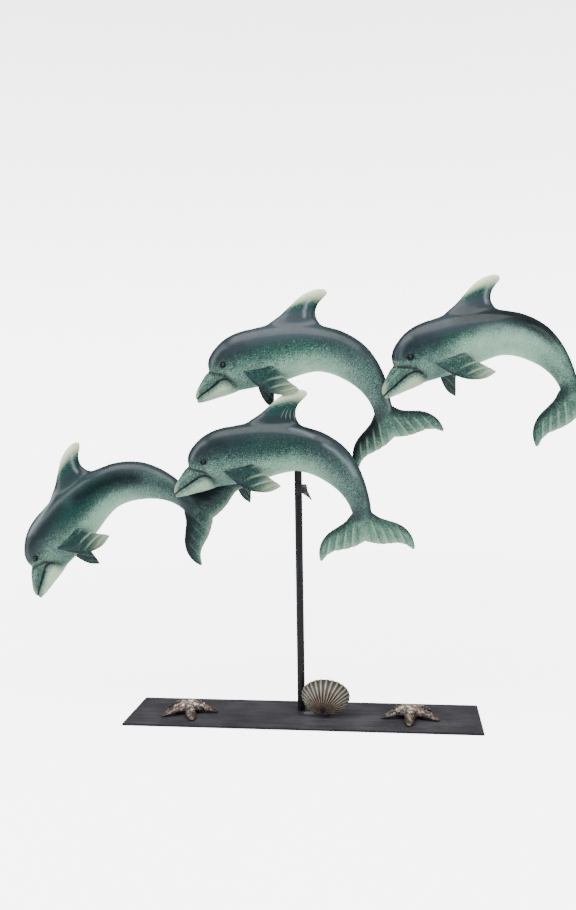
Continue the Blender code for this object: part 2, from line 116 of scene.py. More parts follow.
sheet_glow, sheet_seen = (
    add_node(sheet_tree, "ShaderNodeMapRange", {"interpolation_type": "SMOOTHSTEP"}, {
        "Value": sheet_away, "From Min": GLOW_START, "From Max": SHEET_REACH,
        "To Min": middle, "To Max": edge})
    for middle, edge in ((GLOW_MIDDLE, GLOW_EDGE), (SEEN_MIDDLE, SEEN_EDGE)))
sheet_ray = add_node(sheet_tree, "ShaderNodeLightPath").outputs
sheet_strength = add_node(sheet_tree, "ShaderNodeMix", {"data_type": "FLOAT"}, {
    "Factor": sheet_ray["Is Glossy Ray"], "A": sheet_glow, "B": GLOW_REFLECTED})
sheet_strength = add_node(sheet_tree, "ShaderNodeMix", {"data_type": "FLOAT"}, {
    "Factor": sheet_ray["Is Camera Ray"], "A": sheet_strength, "B": sheet_seen})
set_inputs(sheet_tree, sheet_shader, {
    "Base Color": sheet_tone, "Roughness": 0.9,
    "Emission Color": paint("#F4F4F8"), "Emission Strength": sheet_strength})

sheet_edge = [(SHEET_REACH * math.cos(turn), SHEET_REACH * math.sin(turn), -SHEET_DROP)
              for turn in np.linspace(0, 2 * math.pi, SHEET_CORNERS, endpoint=False)]
floor = add_mesh("floor", sheet_edge, [tuple(range(SHEET_CORNERS))], sheet_paper)

CAMERA_PLACE = (0.1049, -0.920, 0.3045)
CAMERA_PITCH, CAMERA_ROLL, CAMERA_YAW = math.radians(2.0), math.radians(-0.85), math.radians(7.25)
CAMERA_LENS, CAMERA_FILM = 35.6, 36.0
camera_turn = (Matrix.Rotation(CAMERA_YAW, 3, "Z") @ Matrix.Rotation(-CAMERA_PITCH, 3, "X")
               @ Matrix.Rotation(-CAMERA_ROLL, 3, "Y"))
right, ahead, above = (camera_turn.col[i] for i in range(3))
camera_data = bpy.data.cameras.new("camera")
camera_data.lens = CAMERA_LENS
camera_data.sensor_width = CAMERA_FILM
camera = bpy.data.objects.new("camera", camera_data)
camera.matrix_world = Matrix.Translation(CAMERA_PLACE) @ Matrix(
    [(right[i], above[i], -ahead[i]) for i in range(3)]).to_4x4()
bpy.context.scene.collection.objects.link(camera)
bpy.context.scene.camera = camera

# Softboxes: place, aim, width and height in metres, watts
SOFTBOXES = [
    ((-0.10, -0.45, 1.50), (0.0, 0.0, 0.20), 2.0, 0.9, 55.0),
    ((-1.6, -0.6, 0.85), (0.0, 0.0, 0.28), 0.5, 1.2, 18.0),
    ((1.6, -0.6, 0.85), (0.0, 0.0, 0.28), 0.5, 1.2, 14.0),
]
for number, (place, aim, width, height, watts) in enumerate(SOFTBOXES):
    light_data = bpy.data.lights.new(f"softbox_{number + 1}", "AREA")
    light_data.shape, light_data.size, light_data.size_y = "RECTANGLE", width, height
    light_data.energy = watts
    light = bpy.data.objects.new(light_data.name, light_data)
    light.location = place
    light.rotation_euler = (Vector(aim) - Vector(place)).to_track_quat("-Z", "Y").to_euler()
    bpy.context.scene.collection.objects.link(light)

# The room is white down at the sheet's edge and darker from halfway up, and dim in reflections
CEILING_FROM, CEILING_SEEN, ROOM_LIGHT, ROOM_REFLECTED = 0.50, 4.4, 0.60, 0.25
room = bpy.data.worlds.new("pale_room")
room.use_nodes = True
room_tree = room.node_tree
room_way = add_node(room_tree, "ShaderNodeTexCoord").outputs["Generated"]
room_height = add_node(room_tree, "ShaderNodeSeparateXYZ", {}, {"Vector": room_way}).outputs["Z"]
room_seen = add_node(room_tree, "ShaderNodeMapRange", {"interpolation_type": "SMOOTHSTEP"}, {
    "Value": room_height, "From Min": 0.0, "From Max": CEILING_FROM,
    "To Min": SEEN_WHITE, "To Max": CEILING_SEEN})
room_ray = add_node(room_tree, "ShaderNodeLightPath").outputs
room_strength = add_node(room_tree, "ShaderNodeMix", {"data_type": "FLOAT"}, {
    "Factor": room_ray["Is Glossy Ray"], "A": ROOM_LIGHT, "B": ROOM_REFLECTED})
room_strength = add_node(room_tree, "ShaderNodeMix", {"data_type": "FLOAT"}, {
    "Factor": room_ray["Is Camera Ray"], "A": room_strength, "B": room_seen})
set_inputs(room_tree, room_tree.nodes["Background"], {"Color": paint("#F4F4F8"), "Strength": room_strength})
bpy.context.scene.world = room

# Base plate. One strip of 2.5 mm mild steel, its edges broken with a file, sprayed with satin
# black enamel. The sheared sheet's rolling marks still show, and glue has run from the rod's foot.

# Satin black enamel on steel: plate and rod each with faint streaks along their own length, the
# plate's top painted greyer as a painted reflection of the pale room, its sheared edges left
# black. Streaks are about 2.6 mm apart, the clouds 45 mm wide, and dust, really 0.3 mm, is drawn
# 1.4 mm wide so that it shows.
ENAMELS = {
    # The plate's greyer tones on its top are a painted reflection of the pale room
    "plate": {"run": (0.06, 1.0, 1.0), "tones": ("#1C1C1F", "#2B2A2E", "#403E42"), "dust": 0.45,
              "bump": 0.12},
    "rod": {"run": (1.0, 1.0, 0.05), "tones": ("#090A0B", "#0E0F11", "#1D1F22"), "dust": 0.0,
            "bump": 0.0},
}
STREAK_SIZE, CLOUD_SIZE, DUST_SIZE, STREAK_DEPTH = 1 / 380, 1 / 22, 1 / 700, 0.0002
EDGE_LEVELS = (0.0019, 0.0024)
GLUE_MIDDLE, GLUE_REACH = (0.0070, 0.0035, 0.0), (0.0105, 0.0065)
enamels = {}
for part, finish in ENAMELS.items():
    enamel, enamel_tree, enamel_shader = new_material("satin_black_enamel_" + part)
    enamel_place = add_node(enamel_tree, "ShaderNodeTexCoord").outputs["Object"]
    enamel_run = add_node(enamel_tree, "ShaderNodeMapping", {}, {
        "Vector": enamel_place, "Scale": finish["run"]})
    enamel_streaks = add_node(enamel_tree, "ShaderNodeTexNoise", {}, {
        "Vector": enamel_run, "Scale": 1 / STREAK_SIZE, "Detail": 4.0, "Roughness": 0.6})
    enamel_cloud = add_node(enamel_tree, "ShaderNodeTexNoise", {}, {
        "Vector": enamel_place, "Scale": 1 / CLOUD_SIZE, "Detail": 4.0})
    enamel_dust = add_node(enamel_tree, "ShaderNodeTexNoise", {}, {
        "Vector": enamel_place, "Scale": 1 / DUST_SIZE, "Detail": 2.0})
    enamel_mix = add_node(enamel_tree, "ShaderNodeMix", {"data_type": "FLOAT"}, {
        "Factor": 0.55, "A": enamel_streaks, "B": enamel_cloud})
    enamel_colour = add_node(enamel_tree, "ShaderNodeValToRGB", {
        "stops": list(zip((0.36, 0.50, 0.66), finish["tones"]))}, {"Fac": enamel_mix})
    enamel_specks = add_node(enamel_tree, "ShaderNodeMapRange", {"interpolation_type": "SMOOTHSTEP"}, {
        "Value": enamel_dust, "From Min": 0.60, "From Max": 0.74, "To Max": finish["dust"]})
    enamel_colour = add_node(enamel_tree, "ShaderNodeMix", {"data_type": "RGBA"}, {
        "Factor": enamel_specks, "A": enamel_colour, "B": paint("#5C5C60")})
    if part == "plate":
        # Painted reflection: the top takes the greyer tones, and the sheared edges below it stay black
        enamel_height = add_node(enamel_tree, "ShaderNodeSeparateXYZ", {}, {"Vector": enamel_place})
        top_reflection_share = add_node(enamel_tree, "ShaderNodeMapRange", {}, {
            "Value": enamel_height.outputs["Z"], "From Min": EDGE_LEVELS[0], "From Max": EDGE_LEVELS[1]})
        enamel_colour = add_node(enamel_tree, "ShaderNodeMix", {"data_type": "RGBA"}, {
            "Factor": top_reflection_share, "A": paint("#0C0C0E"), "B": enamel_colour})
        # The glue's smear is an oval whose edge the dust breaks up
        glue_away = add_node(enamel_tree, "ShaderNodeVectorMath", {"operation": "SUBTRACT"}, {
            0: enamel_place, 1: GLUE_MIDDLE})
        glue_away = add_node(enamel_tree, "ShaderNodeVectorMath", {"operation": "MULTIPLY"}, {
            0: glue_away, 1: (1 / GLUE_REACH[0], 1 / GLUE_REACH[1], 0.0)})
        glue_away = add_node(enamel_tree, "ShaderNodeVectorMath", {"operation": "LENGTH"}, {0: glue_away})
        glue_away = add_node(enamel_tree, "ShaderNodeMath", {"operation": "MULTIPLY_ADD"}, {
            0: enamel_dust, 1: 0.9, 2: glue_away})
        glue_share = add_node(enamel_tree, "ShaderNodeMapRange", {"interpolation_type": "SMOOTHSTEP"}, {
            "Value": glue_away, "From Min": 1.36, "From Max": 1.02, "To Max": 0.5})
        enamel_colour = add_node(enamel_tree, "ShaderNodeMix", {"data_type": "RGBA"}, {
            "Factor": glue_share, "A": enamel_colour, "B": paint("#7E8082")})
    enamel_gloss = add_node(enamel_tree, "ShaderNodeMapRange", {}, {
        "Value": enamel_cloud, "From Min": 0.3, "From Max": 0.7, "To Min": 0.32, "To Max": 0.46})
    enamel_bump = add_node(enamel_tree, "ShaderNodeBump", {}, {
        "Height": enamel_streaks, "Strength": finish["bump"], "Distance": STREAK_DEPTH})
    set_inputs(enamel_tree, enamel_shader, {
        "Base Color": enamel_colour, "Roughness": enamel_gloss, "Normal": enamel_bump,
        "Specular IOR Level": 0.2})
    enamels[part] = enamel


def refinish(node, material):
    """Give a CAD node that stays its finished material."""
    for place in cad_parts[node].material_slots:
        place.material = material


refinish("base_plate", enamels["plate"])

# Post. A plain round bar 8 mm thick, pressed through the plate and up into the middle dolphin's
# belly, sprayed together with the plate.
refinish("post", enamels["rod"])

# Dolphins. Four resin castings from one pattern, the tail bent a little differently in each,
# airbrushed slate over teal over cream with a fine spatter, then dipped in clear lacquer, with
# highlights, part of the slate's sheen and the shade in the mouth, the crease and the ribs' valleys
# painted into the colour. The middle one sits on the post; the others are pinned to it and to
# each other where they cross.
MILLIMETRE = 0.001
POST_X, POST_Y, SEAT_HEIGHT = -0.0035, 0.0135, 0.2545
FIT_GAP = 0.0003
# Back x z, belly x z and half width, from the melon to the flukes, in pattern millimetres
BODY = [
    (15.2, 43.0, 15.4, 33.5, 4.2), (17.8, 49.2, 19.2, 24.0, 8.6), (23.6, 56.8, 27.0, 15.0, 11.8),
    (32.2, 64.5, 39.0, 9.8, 14.2), (44.5, 70.8, 52.0, 11.4, 16.4), (60.5, 75.0, 66.0, 13.7, 17.4),
    (79.0, 78.4, 81.0, 16.4, 18.0), (100.0, 79.6, 98.0, 20.4, 18.0), (120.0, 79.0, 115.0, 25.8, 17.6),
    (137.5, 76.2, 131.4, 28.6, 17.0), (155.0, 70.9, 147.0, 25.6, 15.8), (171.0, 62.6, 161.0, 19.0, 14.4),
    (184.6, 51.2, 173.2, 10.6, 12.8), (194.9, 36.4, 182.4, 0.8, 11.0), (202.2, 20.0, 187.8, -8.6, 9.2),
    (206.8, 4.4, 190.0, -15.6, 7.8), (209.2, -7.4, 189.6, -21.0, 6.2), (209.6, -16.4, 192.0, -27.4, 4.4),
    (206.6, -25.0, 196.6, -31.0, 2.6),
]
UPPER_BEAK = [
    (0.1, 5.6, 1.4, 1.6, 2.2), (1.6, 11.2, 5.8, 3.8, 4.6), (5.0, 17.4, 12.6, 7.9, 6.1),
    (9.2, 24.2, 20.0, 12.6, 7.3), (14.4, 30.6, 27.8, 17.4, 8.9), (22.0, 35.0, 36.0, 21.6, 10.6),
    (32.0, 36.0, 43.0, 24.0, 11.0),
]
JAW = [
    (1.6, 2.2, 2.8, -1.8, 2.2), (7.2, 7.6, 9.0, -0.9, 4.4), (14.0, 12.4, 16.6, 1.0, 5.9),
    (21.4, 17.0, 25.4, 3.6, 7.3), (28.6, 21.4, 34.6, 6.0, 9.0), (36.0, 24.6, 44.0, 9.2, 11.0),
    (43.0, 26.4, 53.0, 14.0, 11.6),
]
# Front x z, rear x z and half thickness, from inside the body to the tip
BACK_FIN = [
    (64.0, 66.0, 141.0, 66.0, 12.0), (77.0, 80.0, 132.6, 79.4, 8.0), (90.4, 88.8, 128.6, 87.6, 5.6),
    (102.0, 98.4, 128.9, 93.4, 4.2), (111.6, 106.6, 131.4, 98.8, 3.3), (121.6, 111.8, 135.6, 103.4, 2.7),
    (131.4, 114.0, 139.2, 107.0, 2.1), (137.6, 113.6, 140.8, 110.2, 1.4),
]
FIN_RISE = 36.0
# Half of the flukes from the stock's centre, across and along: leading and trailing edge
FLUKE_LEAD = [(0.0, -4.6), (9.2, -0.4), (17.4, 6.8), (25.8, 11.1), (34.6, 15.3),
              (41.2, 20.4), (46.0, 27.0), (48.6, 34.8), (48.9, 43.2)]
FLUKE_TRAIL = [(0.0, 29.8), (6.5, 32.2), (13.0, 34.0), (19.5, 35.0), (26.0, 35.3),
               (32.0, 35.6), (37.5, 37.2), (42.4, 40.2), (46.7, 44.2)]
STOCK = (199.0, -13.0)
FLUKE_AXIS = math.radians(-80.8)
FLUKE_REACH = 48.9
WEB_PLACE, WEB_REACH = 8.0, 7.0
# Half thickness of the flukes at the stock and the tips, and its share across from front to rear
FLUKE_THICKNESS, FLUKE_ROWS, FLUKE_SIDES = (3.0, 1.8), 60, 48
FLUKE_SECTION = ((0, 0.03, 0.12, 0.4, 0.9, 1.0), (0, 0.66, 0.95, 1.0, 0.62, 0))
# Ribs from the stock to a fluke's tip, folds across a back fin, and how strongly those show
FLUKE_RIBS, FIN_FOLDS = 5.6, 10.0
FOLD_DEPTH = {"middle": 0.8, "left": 0.0, "upper": 0.15, "right": 0.0}
# Side view of the mouth line, whose corner is its sixth point, the melon's crease, and the eyes
MOUTH_LINE = [(2.0, 2.0), (8.0, 6.7), (15.0, 11.2), (22.0, 16.2), (28.0, 20.2), (34.0, 22.8), (39.0, 22.4),
              (43.5, 19.2), (46.5, 14.5)]
MOUTH_CORNER = 6
MELON_CREASE = [(13.0, 30.0), (15.0, 30.0), (22.5, 28.7), (30.5, 27.2), (37.0, 25.4)]
EYES = {"middle": (34.8, 37.0), "left": (28.8, 35.8), "upper": (34.6, 37.2), "right": (32.2, 37.8)}
EYE_RADIUS, EYE_SIDE = 2.1, 13.6
EYE_SIDES, EYE_ROWS = 28, 16
# Share of the pattern's length, how far the nose is down and the tail away, turn and size of the
# flukes, near fin's splay and droop, shift of the back fin and the far fin along the body, and web
# of the outer lobe
CASTINGS = {
    "middle": {"share": 1.000, "nose_down": math.radians(-1.6), "tail_away": 0.0, "fluke_turn": 0.0,
               "fluke_size": 1.02, "near_splay": math.radians(12), "near_droop": math.radians(-3),
               "fin_shift": 1.0, "far_shift": 1.8, "web": 0.0},
    "left": {"share": 1.000, "nose_down": math.radians(35.2), "tail_away": math.radians(1.5),
             "fluke_turn": math.radians(14), "fluke_size": 1.06, "near_splay": math.radians(12),
             "near_droop": math.radians(6), "fin_shift": -1.5, "far_shift": -5.2, "web": 5.0},
    "upper": {"share": 1.014, "nose_down": 0.0, "tail_away": math.radians(-3.7),
              "fluke_turn": math.radians(14), "fluke_size": 1.0, "near_splay": math.radians(1.2),
              "near_droop": math.radians(3), "fin_shift": 2.5, "far_shift": 3.4, "web": 2.0},
    "right": {"share": 0.976, "nose_down": math.radians(6.3), "tail_away": math.radians(10),
              "fluke_turn": math.radians(3), "fluke_size": 1.11, "near_splay": math.radians(12),
              "near_droop": 0.0, "fin_shift": -1.5, "far_shift": 7.0, "web": 0.0},
}
# Where the castings meet, in pattern millimetres, with half widths of the beak and the tail stock
BELLY_SEAT, BEAK_TIP, BEAK_HALF, STOCK_HALF = (132.6, 28.6), (1.5, 1.9), 4.6, 7.16
LEFT_STOCK, UPPER_STOCK, UPPER_BELLY = (196.0, 2.2), (200.2, 2.0), (100.0, 11.0)
BACK_FIN_TOP, CROSSING_DEPTH = (118.6, 114.5), 14.2
VOXEL, FILLET_ROUNDS = ((0.85, 70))


def casting_turn(casting):
    """Nose turned down, then tail turned away from the viewer."""
    return Matrix.Rotation(casting["tail_away"], 3, "Z") @ Matrix.Rotation(-casting["nose_down"], 3, "Y")


def carried(casting, point):
    """Where a point of the pattern lies from the snout, once sized and turned."""
    return casting_turn(casting) @ (Vector((point[0], 0, point[1])) * MILLIMETRE * casting["share"])


def snout_places():
    """Each casting is set by the point where it meets its neighbour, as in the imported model."""
    places = {"middle": Vector((POST_X, POST_Y, SEAT_HEIGHT)) - carried(CASTINGS["middle"], BELLY_SEAT)}
    lap = Vector((0, (BEAK_HALF + STOCK_HALF) * MILLIMETRE + FIT_GAP, 0))
    beak = places["middle"] + carried(CASTINGS["middle"], BEAK_TIP)
    places["left"] = beak + lap - carried(CASTINGS["left"], LEFT_STOCK)
    crossing = places["middle"] + carried(CASTINGS["middle"], BACK_FIN_TOP)
    behind = Vector((0, CROSSING_DEPTH * MILLIMETRE, 0))
    places["upper"] = crossing + behind - carried(CASTINGS["upper"], UPPER_BELLY)
    stock = places["upper"] + carried(CASTINGS["upper"], UPPER_STOCK)
    places["right"] = stock - lap - carried(CASTINGS["right"], BEAK_TIP)
    return places


def soft_step(low, high, value):
    """0 below low and 1 above high with an eased rise between; high may be the lower one."""
    share = np.clip((value - low) / (high - low), 0.0, 1.0)
    return share * share * (3 - 2 * share)


def bell(away, width):
    """1 at no distance, falling off softly over a width."""
    return np.exp(-((away / width) ** 2))


def smooth_run(stations, count):
    """Read a smooth curve through the stations at count even steps."""
    knots = np.array(stations, dtype=float)
    knots = np.vstack([2 * knots[0] - knots[1], knots, 2 * knots[-1] - knots[-2]])
    place = np.linspace(0, len(stations) - 1, count)
    span = np.minimum(place.astype(int), len(stations) - 2)
    f = (place - span)[:, None]
    a, b, c, d = (knots[span + i] for i in range(4))
    return 0.5 * (2 * b + (c - a) * f + (2 * a - 5 * b + 4 * c - d) * f**2 + (3 * b - a - 3 * c + d) * f**3)


def turned(points, angle, centre):
    """Points of the side view turned about a centre."""
    points = np.asarray(points, dtype=float) - centre
    c, s = np.cos(angle), np.sin(angle)
    return np.stack([centre[0] + points[..., 0] * c - points[..., 1] * s,
                     centre[1] + points[..., 0] * s + points[..., 1] * c], axis=-1)


def skin(rings):
    """Points and faces of a closed skin over rings of points, with a pole at each end."""
    rings = np.asarray(rings)
    count, sides = rings.shape[:2]
    points = np.vstack([rings.reshape(-1, 3), rings[0].mean(0), rings[-1].mean(0)])
    faces = [(k + i, k + (i + 1) % sides, k + sides + (i + 1) % sides, k + sides + i)
             for k in range(0, (count - 1) * sides, sides) for i in range(sides)]
    first, last = count * sides, count * sides + 1
    faces += [(first, (i + 1) % sides, i) for i in range(sides)]
    end = (count - 1) * sides
    faces += [(last, end + i, end + (i + 1) % sides) for i in range(sides)]
    return points, faces


def oval_skin(stations, count, sides, fullness):
    """Ovals spanned between two outlines, station by station, in pattern millimetres."""
    run = smooth_run(stations, count)
    top = np.stack([run[:, 0], 0 * run[:, 0], run[:, 1]], axis=1)
    low = np.stack([run[:, 2], 0 * run[:, 0], run[:, 3]], axis=1)
    angle = np.linspace(0, 2 * math.pi, sides, endpoint=False)
    along = np.sign(np.cos(angle)) * np.abs(np.cos(angle)) ** (2 / fullness)
    across = np.sign(np.sin(angle)) * np.abs(np.sin(angle)) ** (2 / fullness)
    middle, up = (top + low) / 2, (top - low) / 2
    side = np.array([0.0, 1.0, 0.0]) * run[:, 4:5]
    return skin(middle[:, None] + up[:, None] * along[None, :, None] + side[:, None] * across[None, :, None])


def bend_tail(stations, turn):
    """Turn the last stations about the stock's centre, easing in along the tail."""
    ease_from, ease_over = 14, 3
    stations = np.array(stations, dtype=float)
    share = np.clip((np.arange(len(stations)) - ease_from) / ease_over, 0, 1)
    angle = turn * share * share * (3 - 2 * share)
    stations[:, 0:2] = turned(stations[:, 0:2], angle, STOCK)
    stations[:, 2:4] = turned(stations[:, 2:4], angle, STOCK)
    return stations


def slid(stations, by):
    """Stations moved along the body."""
    return np.array(stations) + (by, 0, by, 0, 0)


def fluke_skin(casting):
    """Both lobes as one blade, closed round its edges, from tip over the stock to tip, with a web
    that fills the notch between the stock and the outer lobe."""
    axis, size, web = FLUKE_AXIS + casting["fluke_turn"], casting["fluke_size"], casting["web"]
    lead, trail = smooth_run(FLUKE_LEAD, FLUKE_ROWS) * size, smooth_run(FLUKE_TRAIL, FLUKE_ROWS) * size
    filled = web * bell(lead[:, 0] - WEB_PLACE, WEB_REACH)
    webbed = lead - np.stack([0 * filled, filled], axis=1)
    lead = np.vstack([lead[:0:-1] * (-1, 1), webbed])
    trail = np.vstack([trail[:0:-1] * (-1, 1), trail])
    out = np.abs(np.linspace(-1, 1, len(lead)))
    angle = np.linspace(0, 2 * math.pi, FLUKE_SIDES, endpoint=False)
    row = (1 - np.cos(angle)) / 2
    profile = np.interp(row, *FLUKE_SECTION) * np.sign(np.sin(angle))
    place = lead[:, None] + (trail - lead)[:, None] * row[None, :, None]
    thick = (FLUKE_THICKNESS[0] - (FLUKE_THICKNESS[0] - FLUKE_THICKNESS[1]) * out)[:, None] * profile[None]
    x = STOCK[0] - math.sin(axis) * place[..., 0] + math.cos(axis) * place[..., 1]
    z = STOCK[1] + math.cos(axis) * place[..., 0] + math.sin(axis) * place[..., 1]
    return skin(np.stack([x, thick, z], axis=-1))


def settled(thing):
    """The mesh with its modifiers worked in; the modifiers are then taken off."""
    bpy.context.view_layer.update()
    seen = thing.evaluated_get(bpy.context.evaluated_depsgraph_get())
    mesh = bpy.data.meshes.new_from_object(seen)
    thing.modifiers.clear()
    old, thing.data = thing.data, mesh
    bpy.data.meshes.remove(old)
    return mesh


def face_out(mesh):
    """Turn every face of a closed mesh outwards."""
    work = bmesh.new()
    work.from_mesh(mesh)
    bmesh.ops.recalc_face_normals(work, faces=work.faces)
    work.to_mesh(mesh)
    work.free()


def vectors_of(mesh, kind):
    """The places (co) or directions (normal) of a mesh's points."""
    flat = np.empty(len(mesh.vertices) * 3, dtype=np.float32)
    mesh.vertices.foreach_get(kind, flat)
    return flat.reshape(-1, 3).astype(float)


def put_points(mesh, points):
    """Move a mesh's points to new places."""
    mesh.vertices.foreach_set("co", np.asarray(points, dtype=np.float32).ravel())
    mesh.update()


def edges_of(mesh):
    """The pairs of points that a mesh's edges join."""
    flat = np.empty(len(mesh.edges) * 2, dtype=np.int64)
    mesh.edges.foreach_get("vertices", flat)
    return flat.reshape(-1, 2)


def relax(points, edges, weight, rounds, back=-0.50):
    """Even out the skin: each point goes part of the way to the middle of its neighbours, then
    a little back, so that thin edges keep their size. With no way back it fills in creases."""
    count = len(points)
    shares = np.maximum(np.bincount(edges.ravel(), minlength=count), 1)[:, None]
    for push in (0.55, back) * rounds:
        if push:
            pull = np.zeros_like(points)
            for axis in range(3):
                pull[:, axis] = (np.bincount(edges[:, 0], points[edges[:, 1], axis], count)
                                 + np.bincount(edges[:, 1], points[edges[:, 0], axis], count))
            points = points + (pull / shares - points) * (push * weight)[:, None]
    return points


def near_line(points, line):
    """Distance of points from a drawn line in the side view, and the share along it."""
    line = np.asarray(line, dtype=float)
    best = np.full(len(points), 1e9)
    share = np.zeros(len(points))
    reach = np.hypot(*(line[1:] - line[:-1]).T)
    start = np.concatenate([[0], np.cumsum(reach)])
    for k in range(len(line) - 1):
        step = line[k + 1] - line[k]
        t = np.clip(((points - line[k]) @ step) / (step @ step), 0, 1)
        away = np.hypot(*(points - line[k] - t[:, None] * step).T)
        closer = away < best
        best = np.where(closer, away, best)
        share = np.where(closer, (start[k] + t * reach[k]) / start[-1], share)
    return best, share


# Points read at once, which keeps the memory small
READ_AT_ONCE = 4000


def body_reading(points, stations):
    """For each point of the side view: share along the body, share from belly to back, and the
    height over the back in millimetres."""
    run = smooth_run(stations, 300)
    middle, up = (run[:, 0:2] + run[:, 2:4]) / 2, (run[:, 0:2] - run[:, 2:4]) / 2
    half = np.hypot(*up.T)
    up = up / half[:, None]
    along = np.stack([up[:, 1], -up[:, 0]], axis=1)
    share, level, over = (np.zeros(len(points)) for _ in range(3))
    for first in range(0, len(points), READ_AT_ONCE):
        part = slice(first, first + READ_AT_ONCE)
        away = points[part, None] - middle[None]
        ahead_by = (away * along[None]).sum(2)
        height = (away * up[None]).sum(2) / half[None]
        cost = ahead_by**2 + (np.maximum(np.abs(height) - 1, 0) * half[None]) ** 2
        k = cost.argmin(1)
        rows = np.arange(len(k))
        share[part] = k / (len(run) - 1)
        level[part] = (height[rows, k] + 1) / 2
        over[part] = (height[rows, k] - 1) * half[k]
    return share, level, over


def write_attribute(mesh, name, values):
    """Keep one number for each point on the mesh, for a material or a tree to read."""
    made = mesh.attributes.get(name) or mesh.attributes.new(name, "FLOAT", "POINT")
    made.data.foreach_set("value", np.asarray(values, dtype=np.float32))


def fluke_reading(flat, casting):
    """Across and down shares of the flukes in the side view, and how much a point is fluke."""
    turn, size = casting["fluke_turn"], casting["fluke_size"]
    axis = FLUKE_AXIS + turn
    away = (flat - STOCK) / size
    across = -math.sin(axis) * away[:, 0] + math.cos(axis) * away[:, 1]
    along = math.cos(axis) * away[:, 0] + math.sin(axis) * away[:, 1]
    lead, trail = smooth_run(FLUKE_LEAD, 80), smooth_run(FLUKE_TRAIL, 80)
    out = np.abs(across)
    front = np.interp(out, lead[:, 0], lead[:, 1])
    rear = np.interp(out, trail[:, 0], trail[:, 1])
    down = np.clip((along - front) / np.maximum(rear - front, 2.0), 0, 1)
    near = (np.hypot(across, along - 18) < 62) & (along > -12)
    lobe = soft_step(6, 12, out) * soft_step(-6, 2, along - front)
    return across / FLUKE_REACH, down, np.maximum(lobe, soft_step(0, 12, along)) * near


def back_fin_reading(flat, over, shift):
    """How much a point is back fin, its share up the fin and its share from front to rear."""
    x, z = flat.T
    fin = soft_step(0.5, 9.0, over) * ((x > 60) & (x < 150))
    run = smooth_run(slid(BACK_FIN, shift), 80)
    front = np.interp(z, run[:, 1], run[:, 0])
    rear = np.interp(z, run[:, 3], run[:, 2])
    back = np.clip((x - front) / np.maximum(rear - front, 2.0), 0, 1)
    return fin, np.clip(over / FIN_RISE, 0, 1.05) * fin, back


# How each casting was sprayed: lift of the flank and the level where it is strongest, depth of its
# teal, slate on the nape (partly a painted reflection), cream on the jaw, strength of the spatter,
# depth of the flukes, and the dark and the ribs on the flukes' inner and outer lobe
SPRAY = {
    "middle": {"lift": -0.12, "lift_at": 0.50, "teal": 0.14, "slate": 0.16, "jaw": 0.14, "speck": 1.00,
               "flukes": -0.06, "lobe_dark": (0.20, 0.05), "lobe_ribs": (0.8, 0.7)},
    "left": {"lift": -0.22, "lift_at": 0.50, "teal": 0.42, "slate": 0.20, "jaw": 0.36, "speck": 0.80,
             "flukes": 0.15, "lobe_dark": (0.70, 0.90), "lobe_ribs": (0.16, 0.1)},
    "upper": {"lift": -0.04, "lift_at": 0.60, "teal": 0.38, "slate": 0.46, "jaw": 0.25, "speck": 1.10,
              "flukes": 0.03, "lobe_dark": (0.95, 0.10), "lobe_ribs": (0.7, 0.6)},
    "right": {"lift": 0.24, "lift_at": 0.42, "teal": 0.22, "slate": 0.36, "jaw": 0.29, "speck": 0.75,
              "flukes": -0.01, "lobe_dark": (0.15, 0.10), "lobe_ribs": (0.7, 0.6)},
}
